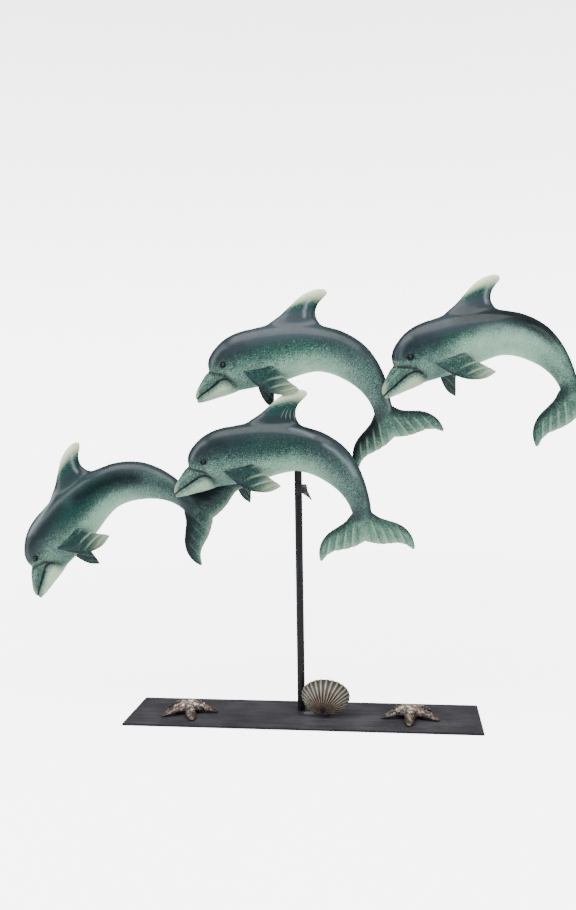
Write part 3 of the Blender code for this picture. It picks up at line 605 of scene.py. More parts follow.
# Airbrush strokes in the side view: castings, kind, width at the two ends, strength, and the line.
# The pale sheen strokes are painted highlights, and two dark strokes at the mouth and the crease
# are painted shade.
EVERY = tuple(SPRAY)
STROKES = [
    # Painted highlight on the melon
    (EVERY, "sheen", 2.0, 3.4, 0.12, [(20.6, 36), (23.0, 44), (28, 53), (38, 60)]),
    (EVERY, "night", 3.0, 5.0, 0.30, [(23, 40), (30, 50), (44, 56), (62, 59)]),
    (EVERY, "light", 4.0, 5.0, 0.05, [(38, 28.5), (48, 25), (60, 20)]),
    # Painted shade under the upper lip and round the mouth's corner
    (EVERY, "night", 1.8, 3.2, 0.75, [(19, 17), (30, 23.0), (38, 23.2), (44, 19), (49, 11)]),
    (EVERY, "night", 0.9, 1.5, 0.70, [(0, 11), (6, 21.6), (12, 29.6), (18, 34)]),
    # Painted shade in the melon's crease
    (EVERY, "night", 1.9, 2.4, 0.60, [(14, 31.0), (24, 29.2), (34, 27.0), (42, 22.6)]),
    (EVERY, "light", 1.4, 1.8, 0.10, [(3, 9), (11, 18.5), (22, 27)]),
    # Painted highlight along the left one's nape
    (("left",), "sheen", 2.2, 3.0, 0.55, [(30, 57), (44, 64), (62, 70), (78, 77), (92, 86)]),
    (("left",), "night", 4.0, 7.5, 0.45, [(26, 46), (42, 54), (66, 60), (96, 65)]),
    (("left",), "night", 7.0, 8.0, 0.75, [(94, 62), (128, 60), (154, 53), (180, 34)]),
    (("left",), "slate", 2.0, 3.0, 0.45, [(120, 76), (140, 71), (160, 63), (178, 50)]),
    # Painted highlight band along the right one's flank
    (("right",), "sheen", 3.6, 3.0, 0.22, [(100, 57), (128, 58), (148, 52), (164, 43), (182, 25)]),
    (("right",), "night", 6.5, 6.5, 0.95, [(74, 69), (100, 73), (136, 70), (158, 61), (176, 47), (194, 28)]),
    # Painted highlights along the middle one's tail and back
    (("middle",), "sheen", 1.6, 2.4, 0.34, [(156, 60), (172, 50.5), (186, 37), (195, 21)]),
    (("middle",), "sheen", 1.5, 2.2, 0.20, [(122, 74.4), (138, 70.5), (152, 64)]),
    (("middle",), "night", 1.4, 1.8, 0.60, [(118, 81), (124, 78.4), (136, 75.5), (152, 69.5)]),
    (("upper",), "night", 2.4, 3.0, 0.20, [(140, 67), (160, 62), (178, 50), (192, 32)]),
    # Painted highlight at the upper one's tail stock
    (("upper",), "sheen", 0.9, 1.2, 0.40, [(197, 12), (203, 2), (206, -8), (206, -16)]),
    # Painted highlight up the rear of the back fin
    (("upper", "left", "right"), "sheen", 1.5, 1.8, 0.42, [(120, 82), (119.6, 91), (122, 99), (128, 106)]),
]


def airbrush(flat, which, kind):
    """What all strokes of one kind leave on a casting, the stronger one where two meet."""
    laid = np.zeros(len(flat))
    for castings, stroke_kind, first, last, strength, line in STROKES:
        if which in castings and stroke_kind == kind:
            away, along = near_line(flat, line)
            width = first + (last - first) * along
            ends = soft_step(0.0, 0.16, along) * soft_step(1.0, 0.84, along)
            laid = np.maximum(laid, strength * ends * bell(away, width))
    return laid


def cover(under, share, coat):
    """One coat laid over another by a share."""
    return under * (1 - share) + share * coat


def dolphin_paint(mesh, flat, which, stations):
    """Work out what the airbrush did at each point, with the painted highlights, reflections and
    shade, and keep it on the mesh as attributes. Returns the distances from the mouth line, the
    melon's crease and the eye, for carving."""
    casting, spray = CASTINGS[which], SPRAY[which]
    share, level, over = body_reading(flat, stations)
    level = np.clip(level, 0, 1)
    x, z = flat.T
    fin, fin_up, fin_back = back_fin_reading(flat, over, casting["fin_shift"])
    across, down, blade = fluke_reading(flat, casting)
    mouth_away, mouth_share = near_line(flat, MOUTH_LINE)
    over_mouth = z - np.interp(x, *np.array(MOUTH_LINE[:MOUTH_CORNER]).T)
    crease_away = near_line(flat, MELON_CREASE)[0]
    under_crease = np.interp(x, *np.array(MELON_CREASE).T) - z
    eye_away = np.hypot(x - EYES[which][0], (z - EYES[which][1]) * 1.1)

    # Zones of the casting, each fading into the next
    beak = soft_step(-0.5, 2.5, under_crease) * soft_step(41, 34, x) * (over_mouth > 0) * (x < 42)
    jaw = soft_step(52, 34, x + 0.5 * (z - 12)) * soft_step(0.4, 5.0, -over_mouth) * (x < 60)
    head = (1 - beak) * (1 - jaw)
    body = soft_step(0.26, 0.40, share)
    tail = soft_step(0.54, 0.74, share)
    lobe_dark = np.where(across < 0, *spray["lobe_dark"]) * soft_step(0.05, 0.25, np.abs(across))
    fin_tone = fin_up + 0.26 * (1 - fin_back) ** 2.4

    # Ramp place: 0 pale sage of the belly, 0.4 sage green, 0.5 dark teal, 0.85 near black
    light = airbrush(flat, which, "light")
    lift = spray["lift"] * bell(level - spray["lift_at"], 0.20) * body
    stem = 0.38 + 0.10 * level + (0.32 - 0.38 * level) * soft_step(0.76, 0.87, share)
    stem = stem + 0.20 * soft_step(0.74, 0.95, level)
    lobe = 0.60 + spray["flukes"] - 0.14 * soft_step(0.6, 1.0, down)
    lobe = lobe - 0.18 * soft_step(0.04 + 0.25 * lobe_dark, 0.50 + 0.4 * lobe_dark, down)
    shade = cover(0.40 + 0.38 * soft_step(0.32, 0.74, level), body, 0.03 + 0.86 * level)
    shade = cover(shade, tail, stem) - lift * (1 - 0.5 * tail) - light
    shade = cover(shade, fin, 0.74 - 0.42 * soft_step(0.36, 0.84, fin_tone))
    shade = cover(shade, beak, 0.47 - light)
    shade = cover(shade, jaw, 0.38 - 0.14 * soft_step(-3, -10, over_mouth))
    shade = cover(shade, blade, lobe)

    # Cream: top of the back fin, rear edge of the flukes, jaw and tip of the beak
    pale = fin * 0.84 * soft_step(0.56, 1.08, fin_tone)
    pale = np.maximum(pale, blade * soft_step(0.80, 1.0, down) * 0.14)
    pale = np.maximum(pale, jaw * spray["jaw"] * soft_step(-2.5, -10, over_mouth))
    pale = np.maximum(pale, 0.35 * (beak + jaw) * soft_step(8, 0, x))

    # Near black: strokes, two of them painted shade under the upper lip and in the melon's crease,
    # inner side of the tail, front edge of the flukes, rear edge of the fin
    fluke_front = soft_step(0.16 + 0.45 * lobe_dark, 0.20 * lobe_dark, down)
    fin_rear = soft_step(0.84, 1.0, fin_back) * soft_step(0.80, 0.45, fin_up)
    night = airbrush(flat, which, "night") * (1 - 0.6 * beak)
    night = np.maximum(night, soft_step(0.82, 0.94, share) * soft_step(0.50, 0.08, level) * (1 - blade) * 0.7)
    night = np.maximum(night, blade * fluke_front * (0.55 + 0.35 * lobe_dark))
    night = np.maximum(night, fin * fin_rear * 0.70)

    # Slate, on the nape partly a painted reflection: nape and back as far as the fin, then thinner over
    # the tail and the cheeks
    nape = soft_step(0.52, 0.80, level) * soft_step(0.12, 0.24, share) * soft_step(0.66, 0.48, share)
    beside_fin = 1 - soft_step(48, 64, x) * soft_step(150, 122, x)
    nape = nape * (1 - 0.65 * soft_step(0.86, 0.99, level) * beside_fin)
    slate = airbrush(flat, which, "slate")
    slate = np.maximum(slate, spray["slate"] * nape * soft_step(0.62, 0.26, fin_tone * fin)) * head
    slate = np.maximum(slate, 0.26 * soft_step(0.44, 0.64, share) * (1 - blade) * (which != "right"))
    slate = np.maximum(slate, 0.12 * (1 - body) * head)

    # Teal: darker half of the flank and a band across the fin
    teal = spray["teal"] * soft_step(0.30, 0.48, shade) * soft_step(0.20, 0.36, share) * (1 - tail)
    teal = teal * (1 - fin) * (1 - 0.6 * soft_step(0.46, 0.60, share))
    teal = np.maximum(teal, 0.55 * fin * bell(fin_tone - 0.50, 0.24))

    # Spatter: strongest along the middle of the flank, on the jaw and on the fin below its top
    flank = 0.55 + 0.45 * bell(level - 0.45, 0.28)
    speck = spray["speck"] * flank * (1 - 0.2 * fin) * (1 - blade)
    speck = np.maximum(np.maximum(speck, 0.55 * np.maximum(blade, beak)), 1.6 * jaw)
    speck = np.maximum(speck, 1.7 * fin * soft_step(0.30, 0.55, fin_tone) * soft_step(1.15, 0.85, fin_tone))

    # Ink of the mouth line, partly painted shade in its groove, painted shade in the melon's crease,
    # and the dark ring round the eye
    mouth_ink = np.clip(1.8 - mouth_away / (0.60 + 0.5 * mouth_share), 0, 1)
    mouth_ink = mouth_ink * soft_step(1.0, 0.80, mouth_share)
    mouth_ink = np.maximum(mouth_ink, 0.65 * np.clip(1.8 - crease_away / 1.2, 0, 1) * (x > 14))
    eye_ink = 0.9 * np.clip((EYE_RADIUS + 3.2 - eye_away) / 2.6, 0, 1)

    # Ribs fan out over the flukes, and folds run up the rear of the back fin
    fluke_out = np.abs(across) + 0.17 * (1 - down) ** 1.3
    fluke_ribs = blade * soft_step(0.20, 0.50, down) * soft_step(0.05, 0.14, np.abs(across))
    fluke_ribs = fluke_ribs * soft_step(1.02, 0.85, fluke_out) * np.where(across < 0, *spray["lobe_ribs"])
    fin_folds = fin * soft_step(0.58, 0.70, fin_back) * soft_step(0.02, 0.12, fin_up)
    fin_folds = FOLD_DEPTH[which] * fin_folds * soft_step(0.50, 0.28, fin_up)
    on_flukes = blade > 0.02
    rib_place = np.where(on_flukes, FLUKE_RIBS * fluke_out + 0.30, FIN_FOLDS * fin_back + 0.3)
    rib_strength = np.where(on_flukes, fluke_ribs, fin_folds)
    coats = {"shade": shade, "pale": pale, "night": night, "slate": slate, "teal": teal, "speck": speck,
             "sheen": airbrush(flat, which, "sheen"), "mouth_ink": mouth_ink, "eye_ink": eye_ink,
             "rib_place": rib_place, "rib_strength": rib_strength}
    for name, values in coats.items():
        write_attribute(mesh, name, values)
    return mouth_away, mouth_share, crease_away, eye_away


# Airbrushed paint under clear lacquer on cast resin: wet gloss over a fine spattered blend.
# The spatter's real dots are about 0.4 mm and are drawn three times coarser, so that they show
GRAIN_SIZE, MOTTLE_SIZE, DOT_SIZE, GRAIN_DEPTH = 0.0011, 0.009, 0.0015, 0.0003
glaze, glaze_tree, glaze_shader = new_material("lacquered_airbrush_paint")
glaze_place = add_node(glaze_tree, "ShaderNodeTexCoord").outputs["Object"]
glaze_reads = {name: add_node(glaze_tree, "ShaderNodeAttribute", {"attribute_name": name}).outputs["Fac"]
               for name in ("shade", "pale", "night", "slate", "sheen", "teal", "speck", "mouth_ink",
                            "eye_ink", "rib_place", "rib_strength")}
glaze_grain, glaze_mottle, glaze_dots = (
    add_node(glaze_tree, "ShaderNodeTexNoise", {}, {
        "Vector": glaze_place, "Scale": 1 / size, "Detail": detail, "Roughness": rough})
    for size, detail, rough in ((GRAIN_SIZE, 3.0, 0.65), (MOTTLE_SIZE, 3.0, 0.5), (DOT_SIZE, 2.0, 0.7)))
# The grain moves the blend up and down its ramp, more where the spatter is strong
grain_reach = add_node(glaze_tree, "ShaderNodeMath", {"operation": "MULTIPLY_ADD"}, {
    0: glaze_reads["speck"], 1: 0.90, 2: 0.34})
grain_even = add_node(glaze_tree, "ShaderNodeMath", {"operation": "SUBTRACT"}, {0: glaze_grain, 1: 0.5})
grain_push = add_node(glaze_tree, "ShaderNodeMath", {"operation": "MULTIPLY"}, {
    0: grain_even, 1: grain_reach})
mottle_push = add_node(glaze_tree, "ShaderNodeMath", {"operation": "MULTIPLY_ADD"}, {
    0: glaze_mottle, 1: 0.20, 2: -0.10})
glaze_level = add_node(glaze_tree, "ShaderNodeMath", {"operation": "ADD"}, {
    0: glaze_reads["shade"], 1: grain_push})
glaze_level = add_node(glaze_tree, "ShaderNodeMath", {"operation": "ADD", "use_clamp": True}, {
    0: glaze_level, 1: mottle_push})
glaze_mix = add_node(glaze_tree, "ShaderNodeValToRGB", {"stops": [
    (0.00, "#7FA08A"), (0.15, "#6E907B"), (0.28, "#5A7868"), (0.40, "#415E52"), (0.50, "#294139"),
    (0.60, "#1A2E2B"), (0.70, "#122324"), (0.80, "#0C1B1D"), (0.90, "#081416"), (1.00, "#050D0F")]}, {
    "Fac": glaze_level})
glaze_mix = add_node(glaze_tree, "ShaderNodeMix", {"data_type": "RGBA"}, {
    "Factor": glaze_reads["teal"], "A": glaze_mix, "B": paint("#07352E")})
# Light dots spat over the dark flank
dot_mask = add_node(glaze_tree, "ShaderNodeMapRange", {"interpolation_type": "SMOOTHSTEP"}, {
    "Value": glaze_dots, "From Min": 0.58, "From Max": 0.72, "To Max": 0.5})
dot_room = add_node(glaze_tree, "ShaderNodeMapRange", {"interpolation_type": "SMOOTHSTEP"}, {
    "Value": glaze_level, "From Min": 0.78, "From Max": 0.48})
dot_share = add_node(glaze_tree, "ShaderNodeMath", {"operation": "MULTIPLY"}, {0: dot_mask, 1: dot_room})
dot_share = add_node(glaze_tree, "ShaderNodeMath", {"operation": "MULTIPLY", "use_clamp": True}, {
    0: dot_share, 1: glaze_reads["speck"]})
glaze_mix = add_node(glaze_tree, "ShaderNodeMix", {"data_type": "RGBA"}, {
    "Factor": dot_share, "A": glaze_mix, "B": paint("#659584")})
# Coats over the blend, each broken up by the same grain: slate, on the nape partly a painted
# reflection; a pale grey-blue painted highlight; cream; and near black, partly painted shade at
# the mouth and the crease
coat_grain = add_node(glaze_tree, "ShaderNodeMath", {"operation": "MULTIPLY"}, {0: grain_push, 1: 2.2})
for coat, coat_colour in (("slate", "#3D414A"), ("sheen", "#7C878C"), ("pale", "#CED6AC"),
                          ("night", "#040B0D")):
    coat_share = add_node(glaze_tree, "ShaderNodeMath", {"operation": "MULTIPLY_ADD", "use_clamp": True}, {
        0: coat_grain, 1: glaze_reads[coat], 2: glaze_reads[coat]})
    glaze_mix = add_node(glaze_tree, "ShaderNodeMix", {"data_type": "RGBA"}, {
        "Factor": coat_share, "A": glaze_mix, "B": paint(coat_colour)})
# Each rib of flukes and fins, with its light and shade painted in: a painted highlight on its pale
# edge, then painted shade in a dark valley that fades outwards
RIB_EDGE = 0.86
rib_turn = add_node(glaze_tree, "ShaderNodeMath", {"operation": "FRACT"}, {0: glaze_reads["rib_place"]})
rib_from_edge = add_node(glaze_tree, "ShaderNodeMath", {"operation": "SUBTRACT"}, {0: rib_turn, 1: RIB_EDGE})
rib_from_edge = add_node(glaze_tree, "ShaderNodeMath", {"operation": "ABSOLUTE"}, {0: rib_from_edge})
for rib_reading, rib_from, rib_to, rib_most, rib_shading_colour in (
        (rib_turn, 0.66, 0.02, 0.50, "#15211F"), (rib_from_edge, 0.22, 0.03, 0.34, "#97AD92")):
    rib_shading_fade = add_node(glaze_tree, "ShaderNodeMapRange", {"interpolation_type": "SMOOTHSTEP"}, {
        "Value": rib_reading, "From Min": rib_from, "From Max": rib_to, "To Max": rib_most})
    rib_shading_share = add_node(glaze_tree, "ShaderNodeMath", {"operation": "MULTIPLY"}, {
        0: rib_shading_fade, 1: glaze_reads["rib_strength"]})
    glaze_mix = add_node(glaze_tree, "ShaderNodeMix", {"data_type": "RGBA"}, {
        "Factor": rib_shading_share, "A": glaze_mix, "B": paint(rib_shading_colour)})
# Ink in the mouth line and round the eye, and painted shade in the mouth's groove and the melon's
# crease, its edge broken by the grain
ink_and_shade = add_node(glaze_tree, "ShaderNodeMath", {"operation": "MAXIMUM"}, {
    0: glaze_reads["mouth_ink"], 1: glaze_reads["eye_ink"]})
ink_and_shade = add_node(glaze_tree, "ShaderNodeMath", {"operation": "MULTIPLY_ADD"}, {0: grain_push, 1: 0.6, 2: ink_and_shade})
ink_and_shade = add_node(glaze_tree, "ShaderNodeMapRange", {"interpolation_type": "SMOOTHSTEP"}, {
    "Value": ink_and_shade, "From Min": 0.1, "From Max": 0.9, "To Max": 0.92})
glaze_mix = add_node(glaze_tree, "ShaderNodeMix", {"data_type": "RGBA"}, {
    "Factor": ink_and_shade, "A": glaze_mix, "B": paint("#05090B")})
glaze_rough = add_node(glaze_tree, "ShaderNodeMapRange", {}, {
    "Value": glaze_mottle, "From Min": 0.3, "From Max": 0.7, "To Min": 0.30, "To Max": 0.42})
glaze_bump = add_node(glaze_tree, "ShaderNodeBump", {}, {
    "Height": glaze_grain, "Strength": 0.10, "Distance": GRAIN_DEPTH})
set_inputs(glaze_tree, glaze_shader, {
    "Base Color": glaze_mix, "Roughness": glaze_rough, "Normal": glaze_bump,
    "Specular IOR Level": 0.1, "Coat Weight": 0.12, "Coat Roughness": 0.12})

# Black gloss paint on the eye bead: a small hard highlight
EYE_CLOUD = 1 / 700
eye_paint, eye_tree, eye_shader = new_material("black_gloss_paint")
eye_cloud = add_node(eye_tree, "ShaderNodeTexNoise", {}, {
    "Vector": add_node(eye_tree, "ShaderNodeTexCoord").outputs["Object"],
    "Scale": 1 / EYE_CLOUD, "Detail": 2.0})
eye_tone = add_node(eye_tree, "ShaderNodeValToRGB", {"stops": [(0.35, "#06080A"), (0.7, "#12171A")]}, {
    "Fac": eye_cloud})
set_inputs(eye_tree, eye_shader, {"Base Color": eye_tone, "Roughness": 0.10, "Specular IOR Level": 0.25})


def new_tree(name, sizes):
    """A tree with a mesh going in and out, a number to set for each size, and a finish. Returns the
    tree and what its inputs give."""
    tree = bpy.data.node_groups.new(name, "GeometryNodeTree")
    for entry, kind in (("Geometry", "NodeSocketGeometry"), *((size, "NodeSocketFloat") for size in sizes),
                        ("Finish", "NodeSocketMaterial")):
        tree.interface.new_socket(entry, in_out="INPUT", socket_type=kind)
    tree.interface.new_socket("Geometry", in_out="OUTPUT", socket_type="NodeSocketGeometry")
    return tree, add_node(tree, "NodeGroupInput").outputs


def end_tree(tree, last, finish):
    """Close a tree: instances made real, the finish set, and the mesh handed out."""
    real = add_node(tree, "GeometryNodeRealizeInstances", {}, {"Geometry": last})
    done = add_node(tree, "GeometryNodeSetMaterial", {}, {"Geometry": real, "Material": finish})
    add_node(tree, "NodeGroupOutput", {}, {"Geometry": done})


def rib_tree():
    """Raise ribs where the mesh says: rib_place counts them, rib_strength fades them out."""
    raised_share = 0.6
    tree, given = new_tree("raised_ribs", ("Rib Height", "Rib Roundness"))
    place, strength = (
        add_node(tree, "GeometryNodeInputNamedAttribute", {"data_type": "FLOAT"}, {"Name": name})
        for name in ("rib_place", "rib_strength"))
    edge = add_node(tree, "ShaderNodeMath", {"operation": "PINGPONG"}, {0: place, 1: 0.5})
    across = add_node(tree, "ShaderNodeMath", {"operation": "MULTIPLY_ADD"}, {0: edge, 1: -2.0, 2: 1.0})
    fall = add_node(tree, "ShaderNodeMath", {"operation": "POWER"}, {0: across, 1: given["Rib Roundness"]})
    ridge = add_node(tree, "ShaderNodeMath", {"operation": "SUBTRACT"}, {0: raised_share, 1: fall})
    rise = add_node(tree, "ShaderNodeMath", {"operation": "MULTIPLY"}, {0: ridge, 1: strength})
    rise = add_node(tree, "ShaderNodeMath", {"operation": "MULTIPLY"}, {0: rise, 1: given["Rib Height"]})
    outward = add_node(tree, "GeometryNodeInputNormal")
    offset = add_node(tree, "ShaderNodeVectorMath", {"operation": "SCALE"}, {0: outward, "Scale": rise})
    moved = add_node(tree, "GeometryNodeSetPosition", {}, {"Geometry": given["Geometry"], "Offset": offset})
    end_tree(tree, moved, given["Finish"])
    return tree


raised_ribs = rib_tree()


def grow(thing, tree, values):
    """Run a tree on an object with its inputs set, and keep the result as a plain mesh."""
    step = thing.modifiers.new(tree.name, "NODES")
    step.node_group = tree
    for item in tree.interface.items_tree:
        if item.in_out == "INPUT" and item.name in values:
            step[item.identifier] = values[item.name]
    return settled(thing)


def eye_bead(which, side):
    """A domed bead sunk in the flank, in pattern millimetres."""
    lift = np.linspace(-0.5 * math.pi, 0.5 * math.pi, EYE_ROWS)[1:-1, None]
    turn = np.linspace(0, 2 * math.pi, EYE_SIDES, endpoint=False)
    ring = np.stack([np.cos(lift) * np.cos(turn), np.sin(lift) * side + 0 * turn,
                     np.cos(lift) * np.sin(turn)], axis=-1)
    return skin(ring * EYE_RADIUS + np.array([EYES[which][0], side * EYE_SIDE, EYES[which][1]]))


# Rows, sides and squareness of each skin, and the depths and widths carved in millimetres
SKINS = {"body": (130, 56, 2.15), "beak": (40, 32, 2.5), "back_fin": (48, 40, 2.0)}
ROOT_FADE, ROOT_SPAN, STOCK_FADE = (2.0, 7.5), (58, 152), 14.0
EVEN_ROUNDS, ROOT_ROUNDS = 4, 14
MOUTH_DEPTH, MOUTH_WIDTH = 0.75, (0.75, 0.35)
CREASE_DEPTH, CREASE_WIDTH, CREASE_FROM = 0.35, 1.1, 13
LID_RISE, LID_AWAY, LID_WIDTH = 0.35, 1.5, 0.9
SOCKET_DEPTH, SOCKET_AWAY, SOCKET_WIDTH = 0.45, 0.1, 0.8
RIB_HEIGHT, RIB_ROUNDNESS = 0.8, 3.0


def cast_dolphin(which, casting, snout):
    """One casting: skins joined by a fine remesh, evened out, carved, ribbed and painted."""
    stations, back_fin = bend_tail(BODY, casting["fluke_turn"]), slid(BACK_FIN, casting["fin_shift"])
    shapes = [oval_skin(stations, *SKINS["body"]), oval_skin(UPPER_BEAK, *SKINS["beak"]),
              oval_skin(JAW, *SKINS["beak"]), oval_skin(back_fin, *SKINS["back_fin"]), fluke_skin(casting)]
    points, faces = np.zeros((0, 3)), []
    for shape_points, shape_faces in shapes:
        faces += [tuple(i + len(points) for i in face) for face in shape_faces]
        points = np.vstack([points, shape_points])
    thing = add_mesh("dolphin_" + which + "_casting", points, faces)
    face_out(thing.data)
    melt = thing.modifiers.new("melt", "REMESH")
    melt.mode = "VOXEL"
    melt.voxel_size = VOXEL
    mesh = settled(thing)

    points, edges = vectors_of(mesh, "co"), edges_of(mesh)
    x, z = points[:, 0], points[:, 2]
    over = body_reading(points[:, [0, 2]], stations)[2]
    root = bell(over - ROOT_FADE[0], ROOT_FADE[1]) * (x > ROOT_SPAN[0]) * (x < ROOT_SPAN[1])
    stock = bell(np.hypot(x - STOCK[0], z - STOCK[1]), STOCK_FADE)
    points = relax(points, edges, np.full(len(points), 0.8), EVEN_ROUNDS)
    points = relax(points, edges, np.clip(root + stock, 0, 1), ROOT_ROUNDS)
    points = relax(points, edges, np.clip(root, 0, 1), FILLET_ROUNDS, 0.0)
    put_points(mesh, points)

    mouth_away, mouth_share, crease_away, eye_away = dolphin_paint(mesh, points[:, [0, 2]], which, stations)
    mouth_width = MOUTH_WIDTH[0] + MOUTH_WIDTH[1] * mouth_share
    carve = -MOUTH_DEPTH * soft_step(1.0, 0.6, mouth_share) * bell(mouth_away, mouth_width)
    carve -= CREASE_DEPTH * bell(crease_away, CREASE_WIDTH) * (points[:, 0] > CREASE_FROM)
    carve += LID_RISE * bell(eye_away - EYE_RADIUS - LID_AWAY, LID_WIDTH)
    carve -= SOCKET_DEPTH * bell(eye_away - EYE_RADIUS - SOCKET_AWAY, SOCKET_WIDTH)
    put_points(mesh, points + vectors_of(mesh, "normal") * carve[:, None])
    grow(thing, raised_ribs, {"Rib Height": RIB_HEIGHT, "Rib Roundness": RIB_ROUNDNESS, "Finish": glaze})

    mesh = thing.data
    work = bmesh.new()
    work.from_mesh(mesh)
    for side in (-1, 1):
        bead_points, bead_faces = eye_bead(which, side)
        corners = [work.verts.new(p) for p in bead_points]
        for face in bead_faces:
            work.faces.new([corners[i] for i in face]).material_index = 1
    bmesh.ops.recalc_face_normals(work, faces=[f for f in work.faces if f.material_index == 1])
    work.to_mesh(mesh)
    work.free()
    mesh.materials.append(eye_paint)
    place_casting(mesh, casting, snout)
    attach(thing, "root")
    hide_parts("dolphin_" + which)


def place_casting(mesh, casting, snout):
    """Bring a mesh in pattern millimetres to its size, turn and place in the group."""
    size = Matrix.Scale(MILLIMETRE * casting["share"], 4)
    mesh.transform(Matrix.Translation(snout) @ casting_turn(casting).to_4x4() @ size)
    mesh.shade_smooth()


snouts = snout_places()
for which, casting in CASTINGS.items():
    cast_dolphin(which, casting, snouts[which])

# Pectoral fins. Eight thin cast blades let into slots in the flanks; the near ones sweep back,
# the far ones hang down. Each is ribbed towards the tip and sprayed teal fading to olive cream.
FIN_THICKNESS = 2.8
# Outline of the near fin in pattern millimetres: lower edge, and upper edge with the root line
FIN_LOW = [(57.1, 27.4), (63.5, 21.8), (69.5, 16.6), (76.1, 12.2), (87.5, 7.4), (102.6, 6.0), (115.6, 9.6)]
FIN_HIGH = [(57.9, 30.0), (67.7, 31.6), (77.7, 33.6), (87.5, 36.0), (96.5, 27.2), (107.4, 19.0),
            (117.4, 13.0)]
FAR_LENGTH, FAR_WIDTH, FAR_SWING = 0.84, 0.78, math.radians(59)
FAR_SPLAY = math.radians(12)
FLANK_FRONT, FLANK_REAR = 15.0, 16.5
FIN_ROWS, FIN_SIDES = 90, 64
TIP_FROM, TIP_THINNING = 0.88, 0.45
# Thickness across the blade, from its lower to its upper edge
FIN_SECTION = ((0, 0.04, 0.3, 0.7, 0.95, 1.0), (0, 0.5, 1.0, 1.0, 0.6, 0))
FIN_RIBS, FIN_RIB_HEIGHT, FIN_RIB_ROUNDNESS = 4.0, 0.5, 2.5


def fin_edge(points, root, outward, form):
    """An edge of the blade, sized and swung about its root."""
    length, width, swing, shift = form
    away = smooth_run(points, FIN_ROWS) - root
    along = away @ outward * length
    across = (away[:, 1] * outward[0] - away[:, 0] * outward[1]) * width
    sized = root + along[:, None] * outward + across[:, None] * np.array([-outward[1], outward[0]])
    return turned(sized, -swing, root) + (shift, 0)


def fin_paint(mesh, which, side, share, level):
    """Airbrush the blade: share runs from root to tip, level from its lower to its upper edge."""
    spray = SPRAY[which]
    rib = 0.85 * soft_step(0.46, 0.66, share) * soft_step(0.08, 0.45, level)
    shade = 0.66 - 0.06 * level - 0.20 * soft_step(0.50, 0.98, share)
    pale = soft_step(0.62, 1.0, share) * 0.26 * (side < 0)
    night = 0.50 * soft_step(0.14, 0.02, level) * soft_step(0.9, 0.6, share)
    night = np.maximum(night, 0.95 * soft_step(0.84, 0.95, level) * soft_step(0.50, 0.40, share))
    # Slate on the blade's leading root, partly a painted reflection
    slate = 0.22 * bell(level - 0.22, 0.14) * soft_step(0.7, 0.4, share)
    if side > 0:
        night, shade, rib = np.maximum(night, 0.20), np.maximum(shade, 0.62), rib * 0.3
    even = np.ones(len(share))
    coats = {"shade": shade - 0.2 * spray["lift"] * (side < 0), "pale": pale, "night": night, "slate": slate,
             "teal": 0.5 * spray["teal"] * even, "speck": 0.85 * even, "rib_strength": rib,
             "rib_place": FIN_RIBS * (1.7 * share - 0.50 * level)}
    for name, values in coats.items():
        write_attribute(mesh, name, values)


def pectoral_fin(which, casting, snout, side, form, splay):
    """One blade: rings round the section from root to rounded tip, folds across its outer half."""
    root = (np.array(FIN_HIGH[0]) + FIN_HIGH[3]) / 2
    slope = (FIN_HIGH[3][1] - FIN_HIGH[0][1]) / (FIN_HIGH[3][0] - FIN_HIGH[0][0])
    outward = (np.array(FIN_LOW[-1]) - root) / np.hypot(*(np.array(FIN_LOW[-1]) - root))
    low, high = (fin_edge(points, root, outward, form) for points in (FIN_LOW, FIN_HIGH))
    spine = (low + high) / 2
    out = np.linspace(0, 1, FIN_ROWS)
    narrow = np.sqrt(1 - np.clip((out - TIP_FROM) / (1 - TIP_FROM), 0, 0.995) ** 2)[:, None]
    low, high = spine + (low - spine) * narrow, spine + (high - spine) * narrow
    angle = np.linspace(0, 2 * math.pi, FIN_SIDES, endpoint=False)
    row = (1 - np.cos(angle)) / 2
    flat = low[:, None] + (high - low)[:, None] * row[None, :, None]
    bulge = np.interp(row, *FIN_SECTION) * np.sign(np.sin(angle))
    thick = FIN_THICKNESS / 2 * (1.0 - TIP_THINNING * out)[:, None] * bulge[None]
    below = root[1] + (flat[..., 0] - root[0]) * slope - flat[..., 1]
    hold = np.minimum((flat[..., 0] - FIN_HIGH[0][0]) / (FIN_HIGH[3][0] - FIN_HIGH[0][0]), 1.0)
    middle = side * (FLANK_FRONT + (FLANK_REAR - FLANK_FRONT) * hold + math.tan(splay) * below)
    points, faces = skin(np.stack([flat[..., 0], middle + thick, flat[..., 1]], axis=-1))
    end = "near_fin" if side < 0 else "far_fin"
    thing = add_mesh(f"dolphin_{which}_{end}_blade", points, faces)
    face_out(thing.data)
    share = np.concatenate([np.repeat(out, FIN_SIDES), [0, 1]])
    level = np.concatenate([np.tile(row, FIN_ROWS), [0.5, 0.5]])
    fin_paint(thing.data, which, side, share, level)
    grow(thing, raised_ribs, {
        "Rib Height": FIN_RIB_HEIGHT, "Rib Roundness": FIN_RIB_ROUNDNESS, "Finish": glaze})
    place_casting(thing.data, casting, snout)
    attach(thing, "root")
    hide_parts(f"dolphin_{which}_{end}")


for which, casting in CASTINGS.items():
    near_form = (1.0, 1.0, casting["near_droop"], 0.0)
    far_form = (FAR_LENGTH, FAR_WIDTH, FAR_SWING, casting["far_shift"])
    pectoral_fin(which, casting, snouts[which], -1, near_form, casting["near_splay"])
    pectoral_fin(which, casting, snouts[which], 1, far_form, FAR_SPLAY)

